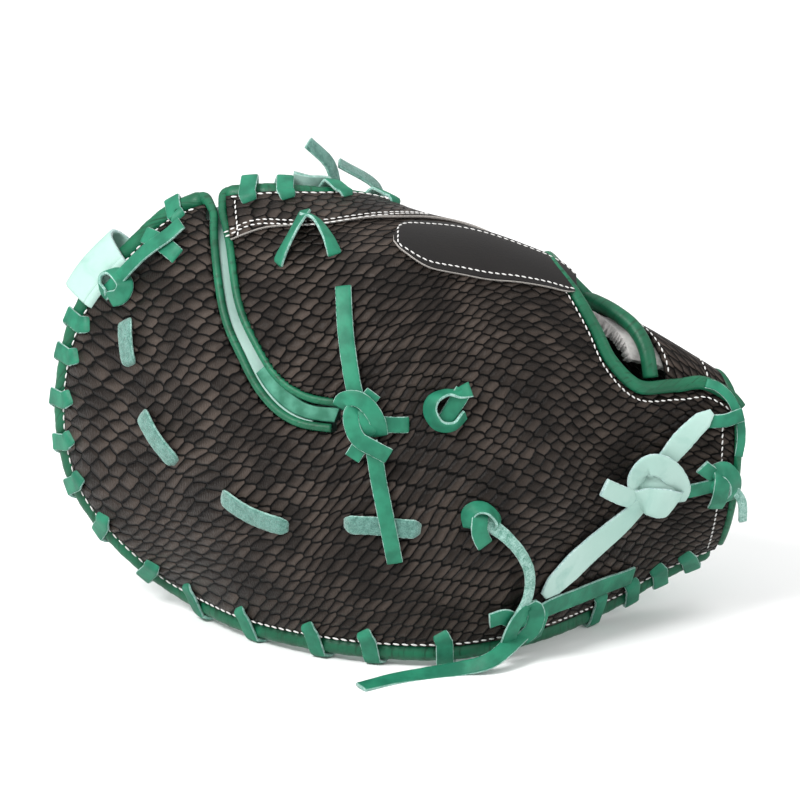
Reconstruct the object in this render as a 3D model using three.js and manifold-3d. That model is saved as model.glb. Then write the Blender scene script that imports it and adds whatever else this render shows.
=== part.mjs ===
// A first baseman mitt that stands on the edge of its finger side, with its back to the front (-Y),
// its fingertips at -X, its heel at +X and its pocket open to +Y. All lengths are millimetres, +Z is up.
// One curved surface drives every piece. A place on it is a station, counted in rows of the section
// table from the tip to the heel, and a share across, from the rim on the floor to the thumb's rim.

import * as THREE from 'three';
import { mergeVertices } from 'three/addons/utils/BufferGeometryUtils.js';
import Module from 'manifold-3d';

const wasm = await Module();
wasm.setup();

// Overall size
const LENGTH = 310;
const HEIGHT = 200;
const DEPTH = 100;

// Leather, rolls and laces
const BACK_LEATHER = 2.4;
const PALM_LEATHER = 3;
const PANEL_LEATHER = 1.3;
const PATCH_LEATHER = 1.3;
const STRAP_LEATHER = 2.4;
const FLEECE = 6;
const RIM_ROLL_RADIUS = 4;
const OPENING_ROLL_RADIUS = 3.1;
const PIPING_RADIUS = 1.9;
const LACE_WIDTH = 7.5;
const LACE_THICKNESS = 1.8;
const WIDE_LACE = 10.5;
const KNOT_HEIGHT = 6;
const CLEARANCE = 0.4;

// Heights over the driving surface, and the shape of the heel's edge
const BACK_TOP = 2.2;
const RIM_GAP = 2;
const ROLL_SINK = -1.4;
const STRAP_TOP = -2.6;
const HEEL_BOW = 15;

// Reach and slant of the laces that wrap the rim
const LACE_REACH = 12.5;
const PALM_REACH = 9.5;
const LACE_SLANT = 5;
const TAB_REACH = 7;
const TAB_BULGE = 7.5;
const WRAP_ROOM = 0.85;

// A row for each section: along is a share of LENGTH, every Y of DEPTH and every Z of HEIGHT. Low is the rim
// on the floor, high is the thumb's rim, and the two handles between them pull the section out into its bow.
// palm is the share of the bow that the palm keeps, so the rest is room for the hand.
const SECTIONS = [
  { along: 0, palm: 0.9, lowY: 0.97, lowZ: 0.455, lowBowY: 0.97, lowBowZ: 0.455,
    highBowY: 0.97, highBowZ: 0.455, highY: 0.97, highZ: 0.455 },
  { along: 0.013, palm: 0.9, lowY: 0.95, lowZ: 0.313, lowBowY: 0.86, lowBowZ: 0.4,
    highBowY: 0.87, highBowZ: 0.53, highY: 0.96, highZ: 0.614 },
  { along: 0.045, palm: 0.88, lowY: 0.91, lowZ: 0.218, lowBowY: 0.66, lowBowZ: 0.34,
    highBowY: 0.68, highBowZ: 0.6, highY: 0.94, highZ: 0.736 },
  { along: 0.1, palm: 0.85, lowY: 0.845, lowZ: 0.127, lowBowY: 0.5, lowBowZ: 0.3,
    highBowY: 0.42, highBowZ: 0.66, highY: 0.91, highZ: 0.838 },
  { along: 0.17, palm: 0.82, lowY: 0.79, lowZ: 0.05, lowBowY: 0.27, lowBowZ: 0.27,
    highBowY: 0.12, highBowZ: 0.74, highY: 0.85, highZ: 0.945 },
  { along: 0.26, palm: 0.79, lowY: 0.43, lowZ: 0.033, lowBowY: 0, lowBowZ: 0.28,
    highBowY: -0.14, highBowZ: 0.81, highY: 0.76, highZ: 0.997 },
  { along: 0.36, palm: 0.75, lowY: 0.17, lowZ: 0.033, lowBowY: -0.2, lowBowZ: 0.32,
    highBowY: -0.3, highBowZ: 0.93, highY: 0.74, highZ: 0.998 },
  { along: 0.47, palm: 0.68, lowY: 0.03, lowZ: 0.033, lowBowY: -0.33, lowBowZ: 0.35,
    highBowY: -0.22, highBowZ: 1.13, highY: 0.92, highZ: 0.94 },
  { along: 0.585, palm: 0.6, lowY: 0.03, lowZ: 0.033, lowBowY: -0.36, lowBowZ: 0.37,
    highBowY: 0.2, highBowZ: 1.285, highY: 1.14, highZ: 0.77 },
  { along: 0.7, palm: 0.52, lowY: 0.28, lowZ: 0.033, lowBowY: -0.24, lowBowZ: 0.37,
    highBowY: 0.3, highBowZ: 1.315, highY: 1.26, highZ: 0.6 },
  { along: 0.8, palm: 0.44, lowY: 0.66, lowZ: 0.035, lowBowY: 0.02, lowBowZ: 0.37,
    highBowY: 0.34, highBowZ: 1.165, highY: 1.28, highZ: 0.5 },
  { along: 0.885, palm: 0.36, lowY: 0.82, lowZ: 0.078, lowBowY: 0.24, lowBowZ: 0.37,
    highBowY: 0.36, highBowZ: 1.04, highY: 1.25, highZ: 0.45 },
  { along: 0.985, palm: 0.3, lowY: 0.9, lowZ: 0.13, lowBowY: 0.34, lowBowZ: 0.33,
    highBowY: 0.36, highBowZ: 0.89, highY: 1.18, highZ: 0.41 },
];
const HEEL = SECTIONS.length - 1;

// Places on the back, each a station and a share across. The slot's middle runs from the rim to the crotch,
// with half its width in millimetres. The opening's edge runs from the finger side of the heel over the hand.
const SLOT = [
  { station: 4.64, across: 1.04, half: 3.4 },
  { station: 4.76, across: 0.905, half: 3.9 },
  { station: 4.92, across: 0.755, half: 4.2 },
  { station: 5.2, across: 0.657, half: 4.3 },
  { station: 5.5, across: 0.582, half: 4.8 },
  { station: 5.9, across: 0.525, half: 5.4 },
  { station: 6.5, across: 0.477, half: 5.2 },
];
const OPENING = [
  { station: 12.1, across: 0.495 },
  { station: 11.9, across: 0.535 },
  { station: 11.54, across: 0.54 },
  { station: 11.1, across: 0.495 },
  { station: 10.5, across: 0.47 },
  { station: 10.0, across: 0.515 },
  { station: 9.73, across: 0.58 },
  { station: 9.45, across: 0.645 },
  { station: 9.14, across: 0.715 },
  { station: 9.08, across: 0.785 },
  { station: 9.3, across: 0.85 },
  { station: 9.95, across: 0.89 },
  { station: 10.9, across: 0.9 },
  { station: 12.1, across: 0.9 },
];
// The edge of the strap that lies on the hand.
const STRAP_EDGE = [
  { across: 0.41, station: 11.05 },
  { across: 0.5, station: 11.02 },
  { across: 0.6, station: 10.95 },
  { across: 0.69, station: 10.75 },
  { across: 0.76, station: 10.4 },
  { across: 0.84, station: 10.0 },
  { across: 0.94, station: 9.8 },
];
// The lower edge of the thumb panel, and both edges of the smooth patch beside the opening.
const PANEL_EDGE = [
  { station: 4.9, across: 0.885 },
  { station: 5.3, across: 0.9 },
  { station: 5.75, across: 0.89 },
  { station: 6.32, across: 0.87 },
  { station: 6.95, across: 0.853 },
  { station: 7.5, across: 0.858 },
  { station: 8.4, across: 0.87 },
];
const PATCH = [
  { station: 7.12, low: 0.775, high: 0.79 },
  { station: 7.24, low: 0.74, high: 0.827 },
  { station: 7.6, low: 0.675, high: 0.818 },
  { station: 8.2, low: 0.632, high: 0.785 },
  { station: 8.7, low: 0.626, high: 0.757 },
  { station: 8.98, low: 0.624, high: 0.741 },
  { station: 9.04, low: 0.622, high: 0.7 },
];
// The web on the palm, from the rim to the crotch, with half its width in millimetres.
const WEB = [
  { station: 4.75, across: 0.94, half: 29 },
  { station: 4.85, across: 0.84, half: 28 },
  { station: 5.1, across: 0.72, half: 24 },
  { station: 5.5, across: 0.61, half: 18 },
  { station: 5.95, across: 0.52, half: 12 },
];
// The laces around the rim, by their place along it.
const FINGER_LACES = [
  -11.62, -11.05, -10.45, -9.75, -7.82, -6.93, -6.23, -5.3, -4.48, -3.49, -2.48, -1.46,
  -0.62, 0.07, 0.73, 1.31, 3.96,
];
const THUMB_LACES = [5.16, 5.65, 6.31, 6.9, 7.6, 8.35, 9.1, 9.9, 10.9];
const TAB_PLACE = { from: 1.85, to: 2.95 };
// The ends of the rim lace that stand up: their place along the rim, then shares of LENGTH, DEPTH and HEIGHT,
// and the direction that their width runs in.
const TOP_LACES = [
  { at: 6.58, bend: [-0.1065, 0.93, 1.035], end: [-0.1387, 0.92, 1.09] },
  { at: 7.2, bend: [-0.0387, 1.04, 0.99], end: [-0.0935, 1, 1.045] },
];
const TOP_LACE_SIDE = [0.75, 0.1, 0.65];
// The end of the rim lace on the floor: shares of LENGTH and DEPTH, and its height over the floor.
const FLOOR_LACE = [
  { along: 0.129, out: -0.09, lift: 6.5 },
  { along: 0.084, out: -0.1, lift: 2 },
  { along: 0.0355, out: -0.14, lift: 0.9 },
  { along: -0.013, out: -0.21, lift: 0.9 },
  { along: -0.0613, out: -0.32, lift: 0.9 },
];
// Spans across the heel, as shares.
const STRAP_SPAN = { from: 0.41, to: 0.94 };
const STRAP_ROLL_SPAN = { from: 0.535, to: 0.825 };
const STRAP_PIPING_SPAN = { from: 0.545, to: 0.87 };
const FLEECE_SPAN = { from: 0.55, to: 0.86 };
const HEEL_PIPING_SPAN = { from: 0.05, to: 0.455 };
const PALM_HEEL_SPAN = { from: 0.055, to: 0.945 };

// Curves and places on the driving surface

// A smooth curve through the values, with the ends carried straight on.
function through(values, at) {
  const last = values.length - 1;
  const i = Math.min(Math.max(Math.floor(at), 0), last - 1);
  const value = (k) => {
    if (k < 0) return 2 * values[0] - values[1];
    if (k > last) return 2 * values[last] - values[last - 1];
    return values[k];
  };
  const t = at - i;
  const [a, b, c, d] = [value(i - 1), value(i), value(i + 1), value(i + 2)];
  if (t > 1 || t < 0) return t > 1 ? c + (c - b) * (t - 1) : b + (c - b) * t;
  return b + 0.5 * t * (c - a + t * (2 * a - 5 * b + 4 * c - d + t * (3 * (b - c) + d - a)));
}

// The section table's column at a station. Past the tip, low and high change places to keep the rim smooth.
const MIRRORED = { lowY: 'highY', lowZ: 'highZ', lowBowY: 'highBowY', lowBowZ: 'highBowZ' };
for (const [low, high] of Object.entries({ ...MIRRORED })) MIRRORED[high] = low;
function column(name, station) {
  const beyond = SECTIONS[1][MIRRORED[name] ?? name];
  return through([beyond, ...SECTIONS.map((row) => row[name])], station + 1);
}

function bezier(a, b, c, d, t) {
  const s = 1 - t;
  return s * s * s * a + 3 * s * s * t * b + 3 * s * t * t * c + t * t * t * d;
}

function alongAt(station, across) {
  const heelShare = Math.max(0, station / HEEL - 0.75) / 0.25;
  const bow = HEEL_BOW * heelShare * heelShare * (2 * across - 0.8) ** 2;
  return LENGTH * (column('along', station) - 0.5) - bow;
}

// A point of the section with its bow kept by a share: 1 for the back, less for the palm.
function sectionPoint(station, across, keep) {
  const at = {};
  for (const axis of ['Y', 'Z']) {
    const low = column('low' + axis, station);
    const high = column('high' + axis, station);
    const lowThird = low + (high - low) / 3;
    const highThird = high - (high - low) / 3;
    const lowBow = lowThird + keep * (column('lowBow' + axis, station) - lowThird);
    const highBow = highThird + keep * (column('highBow' + axis, station) - highThird);
    at[axis] = bezier(low, lowBow, highBow, high, across);
  }
  return new THREE.Vector3(alongAt(station, across), at.Y * DEPTH, at.Z * HEIGHT);
}

const backSurface = (station, across) => sectionPoint(station, across, 1);
const palmSurface = (station, across) => sectionPoint(station, across, column('palm', station));

const STEP = 0.02;
// The unit normal that points out of the back. At the tip it is taken a little inside, where it is defined.
function normalOf(surfaceAt, station, across) {
  const s = Math.max(station, 0.6);
  const v = Math.min(Math.max(across, 0.02), 0.98);
  const along = surfaceAt(s + STEP, v).sub(surfaceAt(s - STEP, v));
  const over = surfaceAt(s, v + STEP).sub(surfaceAt(s, v - STEP));
  return along.cross(over).normalize();
}
const backNormal = (station, across) => normalOf(backSurface, station, across);

// A point lifted off the back, or off the palm, along its normal.
function onBack(station, across, lift = 0) {
  return backSurface(station, across).addScaledVector(backNormal(station, across), lift);
}
function onPalm(station, across, lift = 0) {
  const normal = normalOf(palmSurface, station, across);
  return palmSurface(station, across).addScaledVector(normal, lift);
}

// The rim runs in one parameter: minus a station along the floor, 0 at the tip, plus a station on the thumb.
const rimPoint = (at) => backSurface(Math.abs(at), at < 0 ? 0 : 1);
function rimFrame(at) {
  const point = rimPoint(at);
  const tangent = rimPoint(at + STEP).sub(rimPoint(at - STEP)).normalize();
  const out = backNormal(Math.abs(at), at < 0 ? 0 : 1);
  out.addScaledVector(tangent, -out.dot(tangent)).normalize();
  const inward = new THREE.Vector3().crossVectors(out, tangent);
  const middle = backSurface(Math.max(Math.abs(at), 2), 0.5);
  if (inward.dot(middle.sub(point)) < 0) inward.negate();
  return { point, tangent, out, inward };
}

// The named value of a list of places at a share of its length, and a place moved sideways over the surface.
const valueOn = (list, name, share) => through(list.map((p) => p[name]), share * (list.length - 1));
const placeOn = (list, share) => [valueOn(list, 'station', share), valueOn(list, 'across', share)];
function shifted(list, share, offset, surfaceAt = backSurface) {
  const [station, across] = placeOn(list, share);
  const [fromStation, fromAcross] = placeOn(list, share - STEP);
  const [toStation, toAcross] = placeOn(list, share + STEP);
  const stationStep = surfaceAt(station + STEP, across).distanceTo(surfaceAt(station - STEP, across));
  const acrossStep = surfaceAt(station, across + STEP).distanceTo(surfaceAt(station, across - STEP));
  const [perStation, perAcross] = [stationStep / (2 * STEP), acrossStep / (2 * STEP)];
  const along = (toStation - fromStation) * perStation;
  const over = (toAcross - fromAcross) * perAcross;
  const length = Math.hypot(along, over);
  return [station - (offset * over) / length / perStation, across + (offset * along) / length / perAcross];
}

// The place on a surface that is nearest to a point, found in smaller and smaller steps.
function nearest(surfaceAt, point, station, across) {
  let best = [station, across];
  let distance = surfaceAt(...best).distanceTo(point);
  for (let step = 0.4; step > 1e-4; ) {
    const around = [[step, 0], [-step, 0], [0, step / 5], [0, -step / 5]];
    const next = around
      .map(([s, a]) => [Math.max(best[0] + s, 0), best[1] + a])
      .map((place) => [surfaceAt(...place).distanceTo(point), place])
      .sort((a, b) => a[0] - b[0])[0];
    if (next[0] < distance) [distance, best] = next;
    else step /= 2;
  }
  return best;
}

// Solids

function volumeOf(geometry) {
  const p = geometry.attributes.position;
  const [a, b, c] = [new THREE.Vector3(), new THREE.Vector3(), new THREE.Vector3()];
  let sum = 0;
  for (let i = 0; i < geometry.index.count; i += 3) {
    a.fromBufferAttribute(p, geometry.index.getX(i));
    b.fromBufferAttribute(p, geometry.index.getX(i + 1));
    c.fromBufferAttribute(p, geometry.index.getX(i + 2));
    sum += a.dot(b.cross(c)) / 6;
  }
  return sum;
}

// A closed slab: at(s, t, side) gives its points, with side 0 for one face and 1 for the other.
function slab(rows, columns, at) {
  const points = [];
  const index = [];
  const name = (i, j, side) => (side * (rows + 1) + i) * (columns + 1) + j;
  for (const side of [0, 1]) {
    for (let i = 0; i <= rows; i++) {
      for (let j = 0; j <= columns; j++) points.push(...at(i / rows, j / columns, side).toArray());
    }
  }
  const quad = (a, b, c, d) => index.push(a, b, c, a, c, d);
  for (let i = 0; i < rows; i++) {
    for (let j = 0; j < columns; j++) {
      quad(name(i, j, 1), name(i + 1, j, 1), name(i + 1, j + 1, 1), name(i, j + 1, 1));
      quad(name(i, j, 0), name(i, j + 1, 0), name(i + 1, j + 1, 0), name(i + 1, j, 0));
    }
    quad(name(i, 0, 0), name(i + 1, 0, 0), name(i + 1, 0, 1), name(i, 0, 1));
    quad(name(i + 1, columns, 0), name(i, columns, 0), name(i, columns, 1), name(i + 1, columns, 1));
  }
  for (let j = 0; j < columns; j++) {
    quad(name(0, j + 1, 0), name(0, j, 0), name(0, j, 1), name(0, j + 1, 1));
    quad(name(rows, j, 0), name(rows, j + 1, 0), name(rows, j + 1, 1), name(rows, j, 1));
  }
  const geometry = new THREE.BufferGeometry();
  geometry.setAttribute('position', new THREE.Float32BufferAttribute(points, 3));
  geometry.setIndex(index);
  if (volumeOf(geometry) < 0) {
    for (let i = 0; i < index.length; i += 3) [index[i + 1], index[i + 2]] = [index[i + 2], index[i + 1]];
    geometry.setIndex(index);
  }
  return geometry;
}

// A round roll along points, with flat ends.
function roll(points, radius, steps, sides = 8) {
  const shape = new THREE.Shape();
  for (let i = 0; i < sides; i++) {
    const angle = (2 * Math.PI * i) / sides;
    shape[i ? 'lineTo' : 'moveTo'](radius * Math.cos(angle), radius * Math.sin(angle));
  }
  const path = new THREE.CatmullRomCurve3(points, false, 'centripetal');
  return new THREE.ExtrudeGeometry(shape, { extrudePath: path, steps, bevelEnabled: false });
}

// A flat strip with a ring at each point. Each ring has the direction that the strip's width runs in.
function strip(points, sides, width, thickness = LACE_THICKNESS) {
  const last = points.length - 1;
  return slab(last, 1, (s, t, side) => {
    const i = Math.round(s * last);
    const tangent = points[Math.min(i + 1, last)].clone().sub(points[Math.max(i - 1, 0)]).normalize();
    const across = sides[i].clone().addScaledVector(tangent, -sides[i].dot(tangent)).normalize();
    const face = new THREE.Vector3().crossVectors(across, tangent);
    return points[i]
      .clone()
      .addScaledVector(across, (t - 0.5) * width)
      .addScaledVector(face, (side - 0.5) * thickness);
  });
}

// A lace on the back through places, each with a lift off the leather that it lies on.
const LACE_BED = BACK_TOP + CLEARANCE + LACE_THICKNESS / 2;
function laceOnBack(places, steps, width = LACE_WIDTH) {
  const at = (share) => onBack(...placeOn(places, share), LACE_BED + valueOn(places, 'lift', share));
  const points = [];
  const sides = [];
  for (let i = 0; i <= steps; i++) {
    const share = i / steps;
    points.push(at(share));
    const tangent = at(share + 0.01).sub(at(share - 0.01));
    sides.push(new THREE.Vector3().crossVectors(backNormal(...placeOn(places, share)), tangent).normalize());
  }
  return strip(points, sides, width);
}
const place = (station, across, lift = 0) => ({ station, across, lift });

// A knot drawn tight on the back: a low round lump.
function knot(station, across, radius, lift = 0, height = KNOT_HEIGHT) {
  const ball = new THREE.SphereGeometry(1, 9, 5).scale(radius, radius * 0.85, height / 2);
  const normal = backNormal(station, across);
  const centre = onBack(station, across, BACK_TOP + CLEARANCE + height / 2 + lift);
  ball.applyQuaternion(new THREE.Quaternion().setFromUnitVectors(new THREE.Vector3(0, 0, 1), normal));
  return ball.translate(...centre.toArray());
}

function toSolid(geometry) {
  const bare = geometry.clone();
  bare.deleteAttribute('normal');
  bare.deleteAttribute('uv');
  const merged = mergeVertices(bare, 1e-4);
  const mesh = new wasm.Mesh({
    numProp: 3,
    vertProperties: merged.attributes.position.array,
    triVerts: new Uint32Array(merged.index.array),
  });
  return new wasm.Manifold(mesh);
}
function toGeometry(solid) {
  const mesh = solid.getMesh();
  const geometry = new THREE.BufferGeometry();
  geometry.setAttribute('position', new THREE.BufferAttribute(mesh.vertProperties, 3));
  geometry.setIndex(new THREE.BufferAttribute(mesh.triVerts, 1));
  return geometry;
}
const cut = (body, ...tools) =>
  toGeometry(tools.reduce((left, tool) => left.subtract(toSolid(tool)), toSolid(body)));
const common = (body, other) => toGeometry(toSolid(body).intersect(toSolid(other)));
const join = (first, ...parts) =>
  toGeometry(parts.reduce((sum, part) => sum.add(toSolid(part)), toSolid(first)));

// Colours and finishes

const finish = (colour, roughness) => () => new THREE.MeshStandardMaterial({ color: colour, roughness });
const scaleLeather = finish(0x2b2321, 0.55);
const smoothLeather = finish(0x1b1817, 0.4);
const greenLeather = finish(0x0f6b48, 0.5);
const greenLace = finish(0x1f8560, 0.55);
const mintLeather = finish(0xa8dec9, 0.6);
const suedeLace = finish(0x55a890, 0.95);
const whiteFleece = finish(0xd8d6d2, 1);

const root = new THREE.Group();
function add(name, geometry, material) {
  const mesh = new THREE.Mesh(geometry, material());
  mesh.name = name;
  root.add(mesh);
}

// The back, with the slot and the hand opening cut through it

const RIM_INSET = RIM_ROLL_RADIUS + CLEARANCE;
const TIP_STATION = 1.15;
const SHELL_END = HEEL - 0.1;
const PALM_END = HEEL - 0.17;
const CUT_DEPTH = 8;
const rimLine = Array.from({ length: 481 }, (_, i) => rimPoint(-HEEL + (2 * HEEL * i) / 480));
// The share across at which a section is clear of the rim roll, on its low side or its high side.
function clearOfRim(surfaceAt, station, high) {
  const clearance = surfaceAt === palmSurface ? RIM_INSET + CLEARANCE : RIM_INSET;
  let [near, far] = [0, 0.5];
  for (let i = 0; i < 14; i++) {
    const share = (near + far) / 2;
    const point = surfaceAt(station, high ? 1 - share : share);
    const clear = rimLine.every((rim) => rim.distanceTo(point) > clearance);
    [near, far] = clear ? [near, share] : [share, far];
  }
  return high ? 1 - far : far;
}
// A place inside the rim for the shares of a grid over a whole surface.
const edges = new Map();
function insidePlace(surfaceAt, s, t) {
  const end = surfaceAt === palmSurface ? PALM_END : SHELL_END;
  const station = TIP_STATION + (end - TIP_STATION) * s;
  const key = `${surfaceAt.name} ${station}`;
  if (!edges.has(key)) edges.set(key, [false, true].map((high) => clearOfRim(surfaceAt, station, high)));
  const [low, high] = edges.get(key);
  return [station, low + (high - low) * t];
}

const slotTool = slab(16, 1, (s, t, side) => {
  const half = valueOn(SLOT, 'half', s) + PIPING_RADIUS + CLEARANCE;
  return onBack(...shifted(SLOT, s, (2 * t - 1) * half), (2 * side - 1) * CUT_DEPTH);
});
const mix = (from, to, share) => from + (to - from) * share;
const openingTool = slab(32, 3, (s, t, side) => {
  const [station, across] = shifted(OPENING, s, OPENING_ROLL_RADIUS + 3.5 * CLEARANCE);
  const heelAcross = mix(OPENING[0].across, OPENING[OPENING.length - 1].across, s);
  const past = HEEL + 0.6;
  return onBack(mix(station, past, t), mix(across, heelAcross, t), (2 * side - 1) * CUT_DEPTH);
});

// A sheet over the whole back between two lifts, and a block over a part of it that cuts out a piece.
const backSheet = (low, high) =>
  slab(28, 14, (s, t, side) => onBack(...insidePlace(backSurface, s, t), side ? high : low));
const block = (rows, columns, placeAt) =>
  slab(rows, columns, (s, t, side) => onBack(...placeAt(s, t), side ? 7 : -14));

add('back_shell', cut(backSheet(BACK_TOP - BACK_LEATHER, BACK_TOP), slotTool, openingTool), scaleLeather);

const PANEL_FLOOR = BACK_TOP + 0.3;
const overSheet = (leather) => backSheet(PANEL_FLOOR, PANEL_FLOOR + leather);
const panelBlock = block(9, 3, (s, t) => {
  const [station, low] = placeOn(PANEL_EDGE, s);
  return [station, low + (1.1 - low) * t];
});
add('thumb_panel', cut(common(overSheet(PANEL_LEATHER), panelBlock), slotTool), scaleLeather);

const patchBlock = block(12, 2, (s, t) => {
  const low = valueOn(PATCH, 'low', s);
  return [valueOn(PATCH, 'station', s), low + (valueOn(PATCH, 'high', s) - low) * t];
});
add('finger_patch', common(overSheet(PATCH_LEATHER), patchBlock), smoothLeather);

// The palm and the web over its crotch

const palmSheet = (low, high) =>
  slab(24, 11, (s, t, side) => onPalm(...insidePlace(palmSurface, s, t), side ? high : low));
add('palm_shell', palmSheet(-RIM_GAP - PALM_LEATHER, -RIM_GAP), mintLeather);

const WEB_TOP = -RIM_GAP - PALM_LEATHER - CLEARANCE;
const webBlock = slab(8, 3, (s, t, side) => {
  const [station, across] = shifted(WEB, s, (2 * t - 1) * valueOn(WEB, 'half', s), palmSurface);
  return onPalm(station, Math.min(across, 0.95), side ? 0 : -12);
});
add('web_panel', common(palmSheet(WEB_TOP - BACK_LEATHER, WEB_TOP), webBlock), mintLeather);

// The rolls that bind the rim, split where the slot leaves it

const rollPoints = (from, to, count) => Array.from({ length: count + 1 }, (_, i) => {
  const frame = rimFrame(from + ((to - from) * i) / count);
  return frame.point.addScaledVector(frame.out, ROLL_SINK);
});
const SLOT_LIP = 0.16;
const ROLL_END = HEEL - 0.06;
const fingerRim = rollPoints(-ROLL_END, SLOT[0].station - SLOT_LIP, 60);
const thumbRim = rollPoints(SLOT[0].station + SLOT_LIP, ROLL_END, 30);
add('rim_roll_fingers', roll(fingerRim, RIM_ROLL_RADIUS, 46), greenLeather);
add('rim_roll_thumb', roll(thumbRim, RIM_ROLL_RADIUS, 26), greenLeather);

// A piping along a side of the slot, from inside the rim roll to the crotch.
const PIPING_LIFT = 0.9;
function slotPiping(sign) {
  return Array.from({ length: 15 }, (_, i) => {
    const share = mix(0.2, 0.975, i / 14);
    return onBack(...shifted(SLOT, share, sign * valueOn(SLOT, 'half', share)), PIPING_LIFT);
  });
}
add('slot_piping_fingers', roll(slotPiping(-1), PIPING_RADIUS, 15, 6), greenLeather);
add('slot_piping_thumb', roll(slotPiping(1), PIPING_RADIUS, 15, 6), greenLeather);

add('slot_lace', slab(8, 1, (s, t, side) => {
  const share = 0.6 + 0.37 * s;
  const width = 2 * (valueOn(SLOT, 'half', share) - PIPING_RADIUS - CLEARANCE);
  return onBack(...shifted(SLOT, share, (t - 0.5) * width), PIPING_LIFT - LACE_THICKNESS * side);
}), greenLace);

const openingPoints = Array.from({ length: 37 }, (_, i) =>
  onBack(...placeOn(OPENING, 0.02 + (0.96 * i) / 36), BACK_TOP - BACK_LEATHER / 2));
add('opening_roll', roll(openingPoints, OPENING_ROLL_RADIUS, 30), greenLeather);

// The wrist strap, tucked under the back on both sides, with its roll, piping and fleece

function strapEdge(across) {
  const last = STRAP_EDGE.length - 1;
  const share = (across - STRAP_EDGE[0].across) / (STRAP_EDGE[last].across - STRAP_EDGE[0].across);
  return through(STRAP_EDGE.map((p) => p.station), share * last);
}
const strapBlock = block(2, 12, (s, t) => {
  const across = mix(STRAP_SPAN.from, STRAP_SPAN.to, t);
  return [mix(strapEdge(across), HEEL + 1, s), across];
});
add('wrist_strap', common(backSheet(STRAP_TOP - STRAP_LEATHER, STRAP_TOP), strapBlock), scaleLeather);

const STRAP_ROLL_RADIUS = 3;
const strapRollPoints = Array.from({ length: 13 }, (_, i) => {
  const across = mix(STRAP_ROLL_SPAN.from, STRAP_ROLL_SPAN.to, i / 12);
  return onBack(strapEdge(across) - 0.23, across, STRAP_TOP - STRAP_LEATHER / 2);
});
add('strap_roll', roll(strapRollPoints, STRAP_ROLL_RADIUS, 12), greenLeather);

const edgePoints = (span, lift, count) => Array.from({ length: count + 1 }, (_, i) =>
  onBack(HEEL + 0.01, mix(span.from, span.to, i / count), lift));
const strapEnd = edgePoints(STRAP_PIPING_SPAN, STRAP_TOP - STRAP_LEATHER / 2, 8);
const heelEnd = edgePoints(HEEL_PIPING_SPAN, BACK_TOP - BACK_LEATHER / 2, 10);
add('strap_piping', roll(strapEnd, PIPING_RADIUS, 9, 6), greenLeather);
add('heel_piping', roll(heelEnd, PIPING_RADIUS, 11, 6), greenLeather);

const FLEECE_DROP = 2.6;
add('strap_fleece', slab(4, 8, (s, t, side) => {
  const across = mix(FLEECE_SPAN.from, FLEECE_SPAN.to, t);
  const top = STRAP_TOP - STRAP_LEATHER - 2 * CLEARANCE - (s < 0.3 ? FLEECE_DROP : 0);
  return onBack(mix(strapEdge(across) - 0.5, SHELL_END - 0.03, s), across, top - FLEECE * (1 - side));
}), whiteFleece);

const PALM_HEEL_RADIUS = 2.3;
const palmHeelPoints = Array.from({ length: 13 }, (_, i) =>
  onPalm(HEEL, mix(PALM_HEEL_SPAN.from, PALM_HEEL_SPAN.to, i / 12), -RIM_GAP - PALM_LEATHER / 2));
add('palm_heel_roll', roll(palmHeelPoints, PALM_HEEL_RADIUS, 13, 6), greenLeather);

// Laces and the tab that wrap the rim, from the back over the roll to the palm

const ARC_ANGLES = [62, 21, -21, -62].map((angle) => (angle * Math.PI) / 180);
// The line of a wrap at a place along the rim: each point with the direction its outer face looks to.
function wrapLine(at, reach, thickness, lift, bulge) {
  const { point, out, inward } = rimFrame(at);
  const guess = [Math.max(Math.abs(at), 1.2), at < 0 ? 0.1 : 0.9];
  const line = [];
  const onSheet = (surfaceAt, distance, height) => {
    const target = point.clone().addScaledVector(inward, distance);
    const [station, across] = nearest(surfaceAt, target, ...guess);
    const normal = normalOf(surfaceAt, station, across);
    return { point: surfaceAt(station, across).addScaledVector(normal, height), face: normal };
  };
  const back = BACK_TOP + CLEARANCE + thickness / 2 + lift;
  const palm = -RIM_GAP - PALM_LEATHER - 3 * CLEARANCE - thickness / 2;
  line.push(onSheet(backSurface, reach, back), onSheet(backSurface, (reach + 4) / 2, back));
  const radius = RIM_ROLL_RADIUS + WRAP_ROOM + thickness / 2;
  for (const angle of ARC_ANGLES) {
    const face = inward.clone().multiplyScalar(-Math.cos(angle)).addScaledVector(out, Math.sin(angle));
    const reachOut = radius + lift * Math.max(Math.sin(angle), 0) + bulge * Math.cos(angle);
    line.push({ point: point.clone().addScaledVector(out, ROLL_SINK).addScaledVector(face, reachOut), face });
  }
  for (const distance of [(PALM_REACH + 4) / 2, PALM_REACH]) {
    const low = onSheet(palmSurface, distance, palm);
    line.push({ point: low.point, face: low.face.negate() });
  }
  return line;
}
const perMillimetre = (at) => (2 * STEP) / rimPoint(at + STEP).distanceTo(rimPoint(at - STEP));
function wrap(from, to, columns, reach, thickness, slant = 0, lift = 0, bulge = 0) {
  const cache = new Map();
  const lineAt = (at) => {
    if (!cache.has(at)) cache.set(at, wrapLine(at, reach, thickness, lift, bulge));
    return cache.get(at);
  };
  const rows = ARC_ANGLES.length + 3;
  return slab(rows, columns, (s, t, side) => {
    const at = from + (to - from) * t + slant * (s - 0.5);
    const { point, face } = lineAt(at)[Math.round(s * rows)];
    return point.clone().addScaledVector(face, (side - 0.5) * thickness);
  });
}
const laceOnRim = (at, slant, lift) => {
  const unit = perMillimetre(at);
  const half = (LACE_WIDTH / 2) * unit;
  return wrap(at - half, at + half, 1, LACE_REACH, LACE_THICKNESS, slant * unit, lift);
};
const PANEL_END = PANEL_EDGE[PANEL_EDGE.length - 1].station;
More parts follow.
